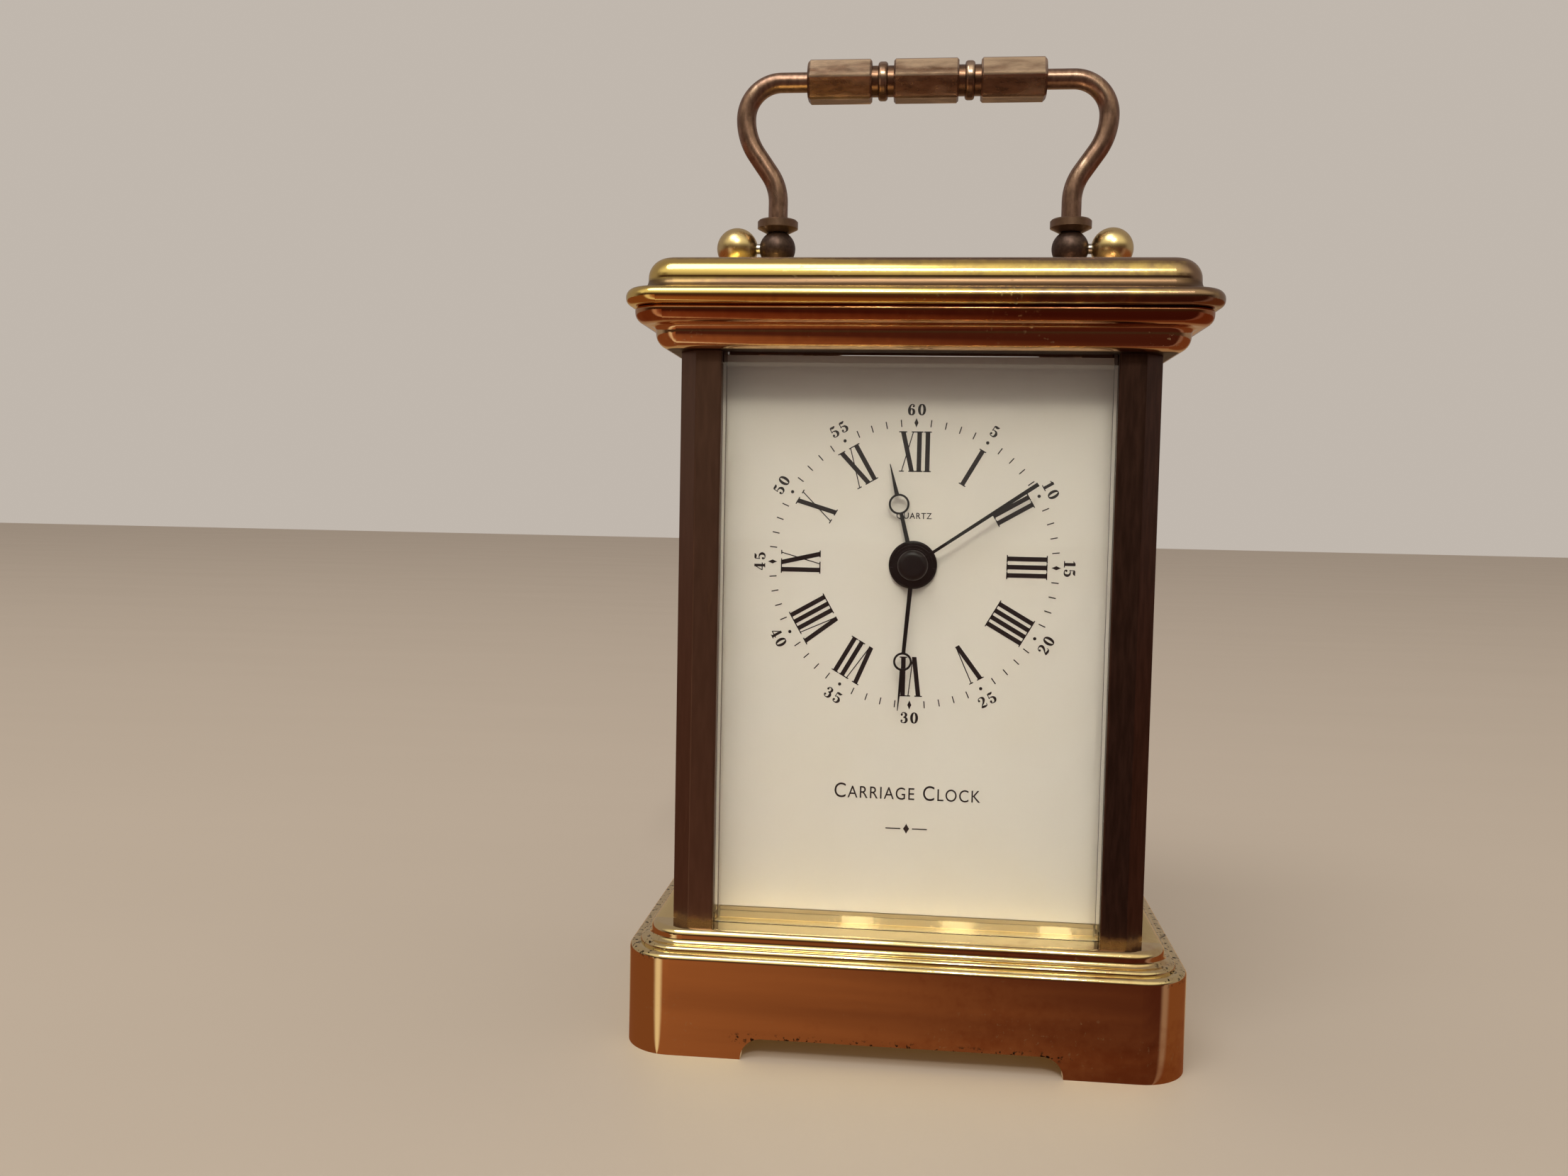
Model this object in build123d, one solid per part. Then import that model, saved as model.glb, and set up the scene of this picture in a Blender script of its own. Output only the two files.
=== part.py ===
"""Carriage clock with a quartz movement.

Brass base and top mouldings, four posts, bevelled glass, a swinging handle and a
hinged rear door. Millimetres. +X is to the right, +Y is to the back, +Z is up,
and the origin is the centre of the base, on the surface that the clock stands on.
"""
from build123d import *
from collections import namedtuple
from math import cos, hypot, pi, radians, sin
import os

# ---------------------------------------------------------------- driving dimensions
BASE_WIDTH, BASE_DEPTH = 80.0, 66.6      # skirt of the base
BASE_TOP = 17.4                          # the posts stand here
CASE_HEIGHT = 83.1                       # length of the posts
POST_OUTER_X, POST_OUTER_Y = 34.06, 27.3
POST_SIZE = 6.3
DIAL_Z = 70.4                            # height of the hand arbors
PIVOT_Z = 120.0                          # height of the handle's pivots
GRIP_Z = 146.3                           # height of the grip's axis

RUN = 0.05                               # radial clearance of a running fit
GLASS = 1.6                              # thickness of every pane
GROOVE = 1.6                             # depth of the grooves that hold the panes

# ---------------------------------------------------------------- worked-out places
CORNICE_Z = BASE_TOP + CASE_HEIGHT       # underside of the cornice
CAP_Z = CORNICE_Z + 5.7                  # underside of the cap
CAP_TOP = CORNICE_Z + 12.8
POST_X = POST_OUTER_X - POST_SIZE / 2
POST_Y = POST_OUTER_Y - POST_SIZE / 2
POST_INNER_X = POST_OUTER_X - POST_SIZE
POST_INNER_Y = POST_OUTER_Y - POST_SIZE
DIAL_FRONT = -POST_INNER_Y               # the dial plate lies on the backs of the front posts
DIAL_THICK = 0.8

Outline = namedtuple("Outline", "half_x half_y radius")

# base mouldings, from the skirt up
SKIRT = Outline(BASE_WIDTH / 2, BASE_DEPTH / 2, 7.0)
BASE_BEAD = Outline(SKIRT.half_x - 1.4, SKIRT.half_y - 1.4, 6.2)
BASE_RISER = Outline(SKIRT.half_x - 2.9, SKIRT.half_y - 2.9, 5.4)
SKIRT_Z, BASE_BEAD_Z = 14.6, 15.3
BASE_FLOOR = 2.0                         # thickness of the base's top
WALL = 2.0
ARCH_X, ARCH_Y, ARCH_Z, ARCH_R = 22.6, 15.9, 3.1, 3.0

# cornice and cap mouldings
CORNICE_UPPER = Outline(40.0, 33.24, 4.6)
CORNICE_LOWER = Outline(37.3, 30.54, 3.4)
CORNICE_STEP_Z = CORNICE_Z + 3.3
CORNICE_FLOOR = 2.0
CORNICE_POCKET = Outline(34.5, 27.7, 2.0)
CAP_BEAD = Outline(41.16, 34.4, 5.0)
CAP_DOME = Outline(38.4, 31.64, 4.2)
CAP_BEAD_Z = CAP_Z + 2.5
CAP_CAVITY = Outline(36.3, 29.5, 2.2)
CAP_ROOF = 1.5

# screws: head radius, head height, shank radius
POST_SCREW = (2.2, 1.5, 1.2)
SMALL_SCREW = (1.1, 0.7, 0.6)
SCREW_HOLE = 1.25
CAP_SCREW_X, CAP_SCREW_Y = 22.0, 12.0

# handle
BALL_X, BALL_R = 29.75, 3.3              # fixed pivot balls
EYE_X, EYE_R = 23.25, 2.9                # balls that swing
PIN_R = 0.8
ROD_R = 1.55
GRIP_SEGMENT, GRIP_GROOVE, GRIP_RING = 10.2, 0.97, 1.53
GRIP_HALF = (3 * GRIP_SEGMENT + 4 * GRIP_GROOVE + 2 * GRIP_RING) / 2
GRIP_FLATS = 6.16
SPIGOT_R, SPIGOT_LENGTH = 1.0, 4.0

# rear door
DOOR_PIVOT_X, DOOR_PIVOT_Y = 25.9, 25.6
DOOR_HALF_THICK = 1.5
DOOR_HALF_X = DOOR_PIVOT_X + DOOR_HALF_THICK
DOOR_GAP = 0.5
DOOR_BAR = 4.0
DOOR_GLASS_LAP = 1.2                     # how far the pane reaches under the bars
DOOR_KNOB_Z = 60.0
DOOR_STOP_SCREW = (-18.0, 20.5)

# dial fixing
DIAL_HALF_X, DIAL_BOTTOM, DIAL_TOP = 29.9, 18.6, 100.0
SILL_X, SILL_Y = 27.5, (-21.3, -20.0)    # ribs that close the gaps below and above the dial
DIAL_SCREW_X, DIAL_SCREW_Z = 29.2, (24.0, 94.6)

# movement
CASE_FRONT = DIAL_FRONT + DIAL_THICK + 0.8
CASE_HALF_X, CASE_HALF_Z, CASE_DEPTH, CASE_WALL = 27.5, 28.0, 16.0, 1.2
CASE_REAR = CASE_FRONT + CASE_DEPTH
COVER_FRONT = CASE_REAR - CASE_WALL
CASE_BOTTOM, CASE_TOP = DIAL_Z - CASE_HALF_Z, DIAL_Z + CASE_HALF_Z
BAY_HEIGHT = 14.8
BAY_FLOOR = CASE_BOTTOM + CASE_WALL
BAY_TOP = BAY_FLOOR + BAY_HEIGHT
TRAIN_FLOOR = BAY_TOP + CASE_WALL
BATTERY_R, BATTERY_LENGTH = 7.25, 50.5
BATTERY_X0 = -24.6

# arbors and tubes of the hands
ARBOR_R = 0.45
CANNON_R = 1.1
HOUR_TUBE_R = 1.9
BUSH_R = 2.6
NUT_R, NUT_FRONT = 3.5, DIAL_FRONT - 0.8
HOUR_HAND_FRONT, MINUTE_HAND_FRONT, SECONDS_HAND_FRONT = -22.45, -23.05, -23.85
HOUR_BOSS_R, MINUTE_BOSS_R, SECONDS_CAP_R = 2.9, 2.45, 2.2
HAND_RING_WALL = 0.3                     # width of the wire-thin rings in the hands
HAND_POINT_HALF = 0.06

# layers of the wheel train: front face of each
LAYER_HOUR, LAYER_MOTION, LAYER_CENTRE = -17.8, -16.4, -14.6
LAYER_THIRD, LAYER_SECONDS, LAYER_INTER, LAYER_ROTOR = -13.0, -10.6, -9.0, -7.8
WHEEL_THICK = 0.8
MOTION_THICK = 1.0

# tooth counts and modules of each pair in mesh
SECONDS_PINION, THIRD_WHEEL, THIRD_MODULE = 8, 60, 0.32
THIRD_PINION, CENTRE_WHEEL = 8, 64
INTER_PINION, SECONDS_WHEEL, SECONDS_MODULE = 12, 60, 0.30
ROTOR_PINION, INTER_WHEEL, INTER_MODULE = 10, 60, 0.28
CANNON_PINION, MINUTE_WHEEL, MOTION_MODULE = 10, 30, 0.40
MINUTE_PINION, HOUR_WHEEL = 8, 32
SETTING_PINION = 10

THIRD_DISTANCE = THIRD_MODULE * (SECONDS_PINION + THIRD_WHEEL) / 2
CENTRE_MODULE = 2 * THIRD_DISTANCE / (THIRD_PINION + CENTRE_WHEEL)
MOTION_DISTANCE = MOTION_MODULE * (CANNON_PINION + MINUTE_WHEEL) / 2
SETTING_DISTANCE = MOTION_MODULE * (SETTING_PINION + MINUTE_WHEEL) / 2
SECONDS_DISTANCE = SECONDS_MODULE * (INTER_PINION + SECONDS_WHEEL) / 2
INTER_DISTANCE = INTER_MODULE * (ROTOR_PINION + INTER_WHEEL) / 2

# directions from one arbor to the next, degrees from +X towards +Z
THIRD_DIRECTION, MINUTE_DIRECTION, SETTING_DIRECTION = 120.0, -25.0, -20.0
INTER_DIRECTION, ROTOR_DIRECTION = 20.0, 100.0


def step_from(place, distance, direction):
    """The place that lies a distance from another, in the X-Z plane."""
    return (place[0] + distance * cos(radians(direction)),
            place[1] + distance * sin(radians(direction)))


CENTRE = (0.0, DIAL_Z)
THIRD = step_from(CENTRE, THIRD_DISTANCE, THIRD_DIRECTION)
MINUTE = step_from(CENTRE, MOTION_DISTANCE, MINUTE_DIRECTION)
SETTING = step_from(MINUTE, SETTING_DISTANCE, SETTING_DIRECTION)
INTER = step_from(CENTRE, SECONDS_DISTANCE, INTER_DIRECTION)
ROTOR = step_from(INTER, INTER_DISTANCE, ROTOR_DIRECTION)

# coil and stator
STATOR_X0, STATOR_X1, STATOR_BAR = -3.0, 22.0, 3.0
STATOR_Z0, STATOR_WINDOW_Z, STATOR_CORE_Z, STATOR_Z1 = 79.7, 87.8, 92.0, 94.0
STATOR_FRONT, STATOR_REAR = -7.5, -6.5
MAGNET_R = 3.0
COIL_R = 2.3

# circuit board
BOARD = (-25.5, -9.8, 63.7, 88.0)        # x from, x to, z from, z to
BOARD_FRONT, BOARD_REAR = -7.8, -7.0

COVER_BOSSES = [(x, z) for x in (-24.4, 24.4) for z in (TRAIN_FLOOR + 1.9, CASE_TOP - 3.1)]

# rest angles of the hands, clockwise from twelve as seen from the front
HOUR_ANGLE, MINUTE_ANGLE, SECONDS_ANGLE = 346.0, 184.6, 55.6


# ---------------------------------------------------------------- shared helpers
def block(x0, x1, y0, y1, z0, z1):
    """A box between two corners."""
    return Pos((x0 + x1) / 2, (y0 + y1) / 2, (z0 + z1) / 2) * Box(x1 - x0, y1 - y0, z1 - z0)


def upright(x, y, radius, z0, z1):
    """A cylinder along Z."""
    return Pos(x, y, (z0 + z1) / 2) * Cylinder(radius, z1 - z0)


def along_x(y, z, radius, x0, x1):
    """A cylinder along X."""
    return Pos((x0 + x1) / 2, y, z) * Rot(0, 90, 0) * Cylinder(radius, x1 - x0)


def along_y(place, radius, y0, y1):
    """A cylinder along Y at a place in the X-Z plane."""
    return Pos(place[0], (y0 + y1) / 2, place[1]) * Rot(90, 0, 0) * Cylinder(radius, y1 - y0)


def face_on(y):
    """A drawing plane that faces the front, with X to the right and Z up."""
    return Plane(origin=(0, y, 0), x_dir=(1, 0, 0), z_dir=(0, -1, 0))


def slab(outline, z0, z1):
    """A plate with the outline of a rounded rectangle."""
    flat = RectangleRounded(2 * outline.half_x, 2 * outline.half_y, outline.radius)
    return extrude(Plane.XY.offset(z0) * flat, z1 - z0)


def distance_to(outline, point):
    """Distance of a point from a rounded rectangle, seen from above."""
    beyond_x = abs(point.X) - outline.half_x + outline.radius
    beyond_y = abs(point.Y) - outline.half_y + outline.radius
    outside = hypot(max(beyond_x, 0), max(beyond_y, 0))
    return outside + min(max(beyond_x, beyond_y), 0) - outline.radius


def round_loop(body, outline, z, radius):
    """Round the edges that follow an outline at one height."""
    def on_loop(edge):
        middle = edge.position_at(0.5)
        return abs(middle.Z - z) < 0.001 and abs(distance_to(outline, middle)) < 0.001
    return fillet(body.edges().filter_by(on_loop), radius)


def corners(x, y):
    """The four places that mirror each other about the centre."""
    return [(sx * x, sy * y) for sx in (-1, 1) for sy in (-1, 1)]


def screw(size, length):
    """A slotted screw on the Z axis, head below zero and shank above it."""
    head_r, head_h, shank_r = size
    head = Pos(0, 0, -head_h / 2) * Cylinder(head_r, head_h)
    head = chamfer(head.edges().group_by(Axis.Z)[0], head_h * 0.3)
    slot = Pos(0, 0, -head_h) * Box(3 * head_r, head_r * 0.3, head_h * 0.8)
    return head - slot + Pos(0, 0, length / 2) * Cylinder(shank_r, length)


def hex_nut(flats, bore, height):
    """A hexagonal nut on the Z axis, standing on zero."""
    blank = extrude(RegularPolygon(flats / 2, 6, major_radius=False), height)
    return blank - Pos(0, 0, height / 2) * Cylinder(bore, height)


def group(solids):
    """Separate solids in one node."""
    return Compound(children=list(solids))


# ---------------------------------------------------------------- base
def arch_cut(half_width, length):
    """The low arch between two feet, cut along Y."""
    arch = Rectangle(2 * half_width, 2 * ARCH_Z)
    arch = fillet(arch.vertices(), ARCH_R)
    return extrude(face_on(length / 2) * arch, length)


def make_base_shell():
    """Hollow base with stepped mouldings and bracket feet."""
    body = slab(SKIRT, 0, SKIRT_Z) + slab(BASE_BEAD, SKIRT_Z, BASE_BEAD_Z)
    body += slab(BASE_RISER, BASE_BEAD_Z, BASE_TOP)
    body = round_loop(body, SKIRT, SKIRT_Z, 0.8)
    body = round_loop(body, BASE_BEAD, BASE_BEAD_Z, 0.6)
    body = round_loop(body, BASE_RISER, BASE_TOP, 1.0)
    body = round_loop(body, BASE_RISER, BASE_BEAD_Z, 0.8)
    body += block(-SILL_X, SILL_X, *SILL_Y, BASE_TOP - 0.5, DIAL_BOTTOM - 0.1)
    lower = Outline(SKIRT.half_x - WALL, SKIRT.half_y - WALL, SKIRT.radius - WALL)
    upper = Outline(SKIRT.half_x - 2.6 * WALL, SKIRT.half_y - 2.6 * WALL, 1.5)
    body -= slab(lower, 0, SKIRT_Z - 2.2)
    body -= slab(upper, 0, BASE_TOP - BASE_FLOOR)
    body -= arch_cut(ARCH_X, BASE_DEPTH + 2)
    body -= Rot(0, 0, 90) * arch_cut(ARCH_Y, BASE_WIDTH + 2)
    for x, y in corners(POST_X, POST_Y):
        body -= upright(x, y, SCREW_HOLE, BASE_TOP - BASE_FLOOR, BASE_TOP)
    return body - upright(DOOR_PIVOT_X, DOOR_PIVOT_Y, PIN_R + RUN, BASE_TOP - 1.4, BASE_TOP)


def make_lower_screws():
    """Screws that come up through the base into the posts."""
    under = BASE_TOP - BASE_FLOOR
    return group(Pos(x, y, under) * screw(POST_SCREW, 10) for x, y in corners(POST_X, POST_Y))


# ---------------------------------------------------------------- posts and panes
def make_post(side, end):
    """A post; side is -1 left or 1 right, end is -1 front or 1 back."""
    bar = block(POST_INNER_X, POST_OUTER_X, POST_INNER_Y, POST_OUTER_Y, BASE_TOP, CORNICE_Z)
    outer = bar.edges().filter_by(Axis.Z).sort_by(lambda e: e.center().X + e.center().Y)
    bar = chamfer(outer[-1], 2.6)
    bar = fillet(bar.edges().filter_by(Axis.Z), 0.3)
    lip = POST_OUTER_X - 1.7 - GLASS
    bar -= block(lip - RUN, lip + GLASS + RUN, POST_INNER_Y, POST_INNER_Y + GROOVE, BASE_TOP, CORNICE_Z)
    if end < 0:
        rebate = POST_OUTER_Y - 0.8
        bar -= block(POST_INNER_X, POST_INNER_X + GROOVE, rebate - GLASS - RUN, rebate + RUN,
                     BASE_TOP, CORNICE_Z)
        for z in DIAL_SCREW_Z:
            bar -= along_y((DIAL_SCREW_X, z), 0.65, POST_INNER_Y, POST_INNER_Y + 3)
    for z0, z1 in ((BASE_TOP, BASE_TOP + 9), (CORNICE_Z - 9, CORNICE_Z)):
        bar -= upright(POST_X, POST_Y, SCREW_HOLE, z0, z1)
    if side < 0:
        bar = mirror(bar, Plane.YZ)
    return mirror(bar, Plane.XZ) if end < 0 else bar


def bevelled_pane(width, height, bevel=2.0, drop=0.45):
    """A pane lying on the X-Y plane with its upper face bevelled."""
    pane = extrude(Rectangle(width, height), GLASS)
    return chamfer(pane.faces().sort_by(Axis.Z)[-1].edges(), drop, bevel)


def make_front_glass():
    """The pane in front of the dial, bevelled on its outer face."""
    half = POST_INNER_X + GROOVE - 0.15
    height = CASE_HEIGHT - 0.1
    inner = -(POST_OUTER_Y - 0.8 - GLASS)
    return Plane(origin=(0, inner, BASE_TOP + CASE_HEIGHT / 2), x_dir=(1, 0, 0),
                 z_dir=(0, -1, 0)) * bevelled_pane(2 * half, height)


def make_side_glass(side):
    """A side pane, held in grooves of a front and a rear post."""
    half = POST_INNER_Y + GROOVE - 0.15
    height = CASE_HEIGHT - 0.1
    inner = side * (POST_OUTER_X - 1.7 - GLASS)
    return Plane(origin=(inner, 0, BASE_TOP + CASE_HEIGHT / 2), x_dir=(0, side, 0),
                 z_dir=(side, 0, 0)) * bevelled_pane(2 * half, height)


# ---------------------------------------------------------------- cornice and cap
def make_cornice():
    """The moulding that ties the tops of the posts together."""
    body = slab(CORNICE_LOWER, CORNICE_Z, CORNICE_STEP_Z) + slab(CORNICE_UPPER, CORNICE_STEP_Z, CAP_Z)
    body = round_loop(body, CORNICE_UPPER, CORNICE_STEP_Z, 1.7)
    body = round_loop(body, CORNICE_UPPER, CAP_Z, 0.5)
    body = round_loop(body, CORNICE_LOWER, CORNICE_Z, 2.3)
    body = round_loop(body, CORNICE_LOWER, CORNICE_STEP_Z, 0.8)
    body += block(-SILL_X, SILL_X, *SILL_Y, DIAL_TOP + 0.1, CORNICE_Z + 0.5)
    body -= slab(CORNICE_POCKET, CORNICE_Z + CORNICE_FLOOR, CAP_Z)
    for x, y in corners(POST_X, POST_Y) + corners(CAP_SCREW_X, CAP_SCREW_Y):
        body -= upright(x, y, SCREW_HOLE, CORNICE_Z, CORNICE_Z + CORNICE_FLOOR)
    body -= upright(*DOOR_STOP_SCREW, 0.65, CORNICE_Z, CORNICE_Z + CORNICE_FLOOR)
    return body - upright(DOOR_PIVOT_X, DOOR_PIVOT_Y, PIN_R + RUN, CORNICE_Z, CORNICE_Z + 1.4)


def make_upper_screws():
    """Screws that go down through the cornice into the posts."""
    top = CORNICE_Z + CORNICE_FLOOR
    return group(Pos(x, y, top) * Rot(180, 0, 0) * screw(POST_SCREW, 10)
                 for x, y in corners(POST_X, POST_Y))


def make_top_cap():
    """The domed cap with its rolled bead, hollow, with four bosses inside."""
    body = slab(CAP_BEAD, CAP_Z, CAP_BEAD_Z) + slab(CAP_DOME, CAP_BEAD_Z, CAP_TOP)
    body = round_loop(body, CAP_BEAD, CAP_BEAD_Z, 1.25)
    body = round_loop(body, CAP_BEAD, CAP_Z, 1.1)
    body = round_loop(body, CAP_DOME, CAP_TOP, 2.9)
    body = round_loop(body, CAP_DOME, CAP_BEAD_Z, 1.4)
    body -= slab(CAP_CAVITY, CAP_Z, CAP_TOP - CAP_ROOF)
    for x, y in corners(CAP_SCREW_X, CAP_SCREW_Y):
        body += upright(x, y, 2.5, CORNICE_Z + CORNICE_FLOOR, CAP_TOP - CAP_ROOF)
        body -= upright(x, y, SCREW_HOLE, CORNICE_Z + CORNICE_FLOOR, CAP_TOP - CAP_ROOF - 2)
    for x in (-BALL_X, BALL_X):
        body -= upright(x, 0, SCREW_HOLE, CAP_TOP - CAP_ROOF, CAP_TOP)
    return body


def make_cap_screws():
    """Screws that hold the cap down, from inside the case."""
    return group(Pos(x, y, CORNICE_Z) * screw(POST_SCREW, 8)
                 for x, y in corners(CAP_SCREW_X, CAP_SCREW_Y))


# ---------------------------------------------------------------- handle
def make_handle_post(side):
    """A fixed ball on a waisted neck, with a threaded stud through the cap."""
    x = side * BALL_X
    foot = chamfer(upright(x, 0, 2.7, CAP_TOP, CAP_TOP + 0.9).edges().group_by(Axis.Z)[-1], 0.3)
    body = foot + upright(x, 0, 1.7, CAP_TOP + 0.9, PIVOT_Z)
    body += Pos(x, 0, PIVOT_Z) * Sphere(BALL_R)
    body += upright(x, 0, 1.2, CAP_TOP - 4.2, CAP_TOP)
    return body - along_x(0, PIVOT_Z, PIN_R, *sorted((side * (BALL_X - 1.3), side * (BALL_X - 4))))


def make_post_nuts():
    """Nuts on the studs of the fixed balls, inside the cap."""
    height = 2.0
    under = CAP_TOP - CAP_ROOF - height
    return group(Pos(x, 0, under) * hex_nut(5.0, SCREW_HOLE, height) for x in (-BALL_X, BALL_X))


def make_handle_pins():
    """The two pivot pins, pressed into the fixed balls."""
    return group(along_x(0, PIVOT_Z, PIN_R, *sorted((s * (EYE_X - 1.8), s * (BALL_X - 1.3))))
                 for s in (-1, 1))


def make_handle_eye(side):
    """A swinging ball with a collar, which carries one end of the bow."""
    x = side * EYE_X
    body = Pos(x, 0, PIVOT_Z) * Sphere(EYE_R)
    body += Pos(x, 0, PIVOT_Z + 2.85) * Cone(1.9, 3.25, 0.7)
    collar = upright(x, 0, 3.25, PIVOT_Z + 3.2, PIVOT_Z + 4.5)
    body += chamfer(collar.edges().group_by(Axis.Z)[-1], 0.25)
    body -= along_x(0, PIVOT_Z, PIN_R + RUN, *sorted((side * (EYE_X - 2.0), side * (EYE_X + 4))))
    return body - upright(x, 0, SPIGOT_R, PIVOT_Z + 1.2, PIVOT_Z + 4.5)


def bow_path():
    """Centre line of the right-hand bow, from its collar round to the grip."""
    lean, lower_r, slope, upper_r, top_r = 35.0, 8.0, 3.8, 9.8, 5.65
    foot = PIVOT_Z + 4.5
    climb = (lower_r + upper_r) * sin(radians(lean)) + slope * cos(radians(lean)) + top_r
    rise = Line((EYE_X, foot), (EYE_X, GRIP_Z - climb))
    out = JernArc(rise @ 1, (0, 1), lower_r, -lean)
    flank = Line(out @ 1, out @ 1 + (out % 1) * slope)
    back = JernArc(flank @ 1, flank % 1, upper_r, lean)
    over = JernArc(back @ 1, back % 1, top_r, 90)
    inward = Line(over @ 1, (GRIP_HALF, GRIP_Z))
    return face_on(0) * Wire([rise, out, flank, back, over, inward])


def make_bow(side):
    """A bent round rod with a spigot at each end."""
    path = bow_path()
    body = sweep(Plane(origin=path @ 0, z_dir=path % 0) * Circle(ROD_R), path=path)
    body += upright(EYE_X, 0, SPIGOT_R, PIVOT_Z + 1.3, PIVOT_Z + 4.6)
    body += along_x(0, GRIP_Z, SPIGOT_R, GRIP_HALF - SPIGOT_LENGTH, GRIP_HALF + 0.1)
    return mirror(body, Plane.YZ) if side < 0 else body


def make_grip():
    """A hexagonal bar with two turned rings, drilled for the bows."""
    bar = extrude(Plane.YZ.offset(-GRIP_HALF) * RegularPolygon(GRIP_FLATS / 2, 6, major_radius=False),
                  2 * GRIP_HALF)
    bar = bar & along_x(0, 0, GRIP_FLATS / 2 + 0.35, -GRIP_HALF, GRIP_HALF)
    bar = chamfer(bar.faces().filter_by(Axis.X).edges(), 0.45)
    neck = along_x(0, 0, GRIP_FLATS, 0, GRIP_GROOVE) - along_x(0, 0, GRIP_FLATS / 2 - 0.7, 0, GRIP_GROOVE)
    ring = along_x(0, 0, GRIP_FLATS, 0, GRIP_RING) - along_x(0, 0, GRIP_FLATS / 2 - 0.1, 0, GRIP_RING)
    for side in (-1, 1):
        inner = side * (GRIP_SEGMENT / 2 + GRIP_GROOVE / 2)
        outer = inner + side * (GRIP_GROOVE + GRIP_RING)
        bar -= Pos(inner - GRIP_GROOVE / 2, 0, 0) * neck
        bar -= Pos(outer - GRIP_GROOVE / 2, 0, 0) * neck
        bar -= Pos((inner + outer - GRIP_RING) / 2, 0, 0) * ring
        end = sorted((side * (GRIP_HALF - SPIGOT_LENGTH - 0.3), side * GRIP_HALF))
        bar -= along_x(0, 0, SPIGOT_R, *end)
    rims = bar.edges().filter_by(lambda e: e.geom_type == GeomType.CIRCLE
                                 and abs(e.radius - (GRIP_FLATS / 2 - 0.1)) < 0.001)
    bar = fillet(rims, 0.5)
    ends = (GRIP_SEGMENT / 2, GRIP_SEGMENT / 2 + 2 * GRIP_GROOVE + GRIP_RING)
    shoulders = bar.faces().filter_by(Axis.X).filter_by(
        lambda f: any(abs(abs(f.center().X) - x) < 0.001 for x in ends))
    bar = chamfer([e for face in shoulders for e in face.outer_wire().edges()], 0.3)
    return Pos(0, 0, GRIP_Z) * bar


# ---------------------------------------------------------------- dial
def make_dial_plate():
    """The flat metal dial, with a hole for the bush and four for its screws."""
    plate = block(-DIAL_HALF_X, DIAL_HALF_X, DIAL_FRONT, DIAL_FRONT + DIAL_THICK, DIAL_BOTTOM, DIAL_TOP)
    plate -= along_y(CENTRE, BUSH_R + RUN, DIAL_FRONT, DIAL_FRONT + DIAL_THICK)
    for x in (-DIAL_SCREW_X, DIAL_SCREW_X):
        for z in DIAL_SCREW_Z:
            plate -= along_y((x, z), 0.65, DIAL_FRONT, DIAL_FRONT + DIAL_THICK)
    return plate


def make_dial_screws():
    """Four small screws from behind the dial into the front posts."""
    back = DIAL_FRONT + DIAL_THICK
    return group(Pos(x, back, z) * Rot(90, 0, 0) * screw(SMALL_SCREW, 3)
                 for x in (-DIAL_SCREW_X, DIAL_SCREW_X) for z in DIAL_SCREW_Z)


# ---------------------------------------------------------------- rear door
def make_door_frame():
    """Door frame with a round hinge edge and a rebate for its pane."""
    z0, z1 = BASE_TOP + DOOR_GAP, CORNICE_Z - DOOR_GAP
    front, back = DOOR_PIVOT_Y - DOOR_HALF_THICK, DOOR_PIVOT_Y + DOOR_HALF_THICK
    body = block(-DOOR_HALF_X, DOOR_PIVOT_X, front, back, z0, z1)
    body += upright(DOOR_PIVOT_X, DOOR_PIVOT_Y, DOOR_HALF_THICK, z0, z1)
    inner_x, sill, head = DOOR_HALF_X - DOOR_BAR, z0 + DOOR_BAR, z1 - DOOR_BAR
    body -= block(-inner_x, inner_x, front, back, sill, head)
    lap = DOOR_GLASS_LAP
    body -= block(-inner_x - lap, inner_x + lap, front, front + GLASS, sill - lap, head + lap)
    body -= along_y((DOOR_BAR / 2 - DOOR_HALF_X, DOOR_KNOB_Z), 0.9, front, back)
    for top in (z0 + 2.1, z1):
        body -= upright(DOOR_PIVOT_X, DOOR_PIVOT_Y, PIN_R, top - 2.1, top)
    return body


def make_door_glass():
    """The door's pane, set in the rebate from inside."""
    lap = DOOR_GLASS_LAP - 0.1
    width = 2 * (DOOR_HALF_X - DOOR_BAR + lap)
    height = CASE_HEIGHT - 2 * DOOR_GAP - 2 * DOOR_BAR + 2 * lap
    inner = DOOR_PIVOT_Y - DOOR_HALF_THICK
    return Plane(origin=(0, inner, BASE_TOP + CASE_HEIGHT / 2), x_dir=(1, 0, 0),
                 z_dir=(0, 1, 0)) * bevelled_pane(width, height, 1.6, 0.3)


def make_door_pins():
    """Pins pressed into the door, which turn in the base and in the cornice."""
    low, high = BASE_TOP + DOOR_GAP + 2.1, CORNICE_Z - DOOR_GAP - 2.1
    return group([upright(DOOR_PIVOT_X, DOOR_PIVOT_Y, PIN_R, BASE_TOP - 1.2, low),
                  upright(DOOR_PIVOT_X, DOOR_PIVOT_Y, PIN_R, high, CORNICE_Z + 1.2)])


def make_door_knob():
    """A turned pull knob, riveted through the free edge of the door."""
    place = (DOOR_BAR / 2 - DOOR_HALF_X, DOOR_KNOB_Z)
    front, back = DOOR_PIVOT_Y - DOOR_HALF_THICK, DOOR_PIVOT_Y + DOOR_HALF_THICK
    body = along_y(place, 0.9, front, back + 2.0) + along_y(place, 1.6, back, back + 0.6)
    return body + Pos(place[0], back + 3.3, place[1]) * Sphere(1.9)


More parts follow.
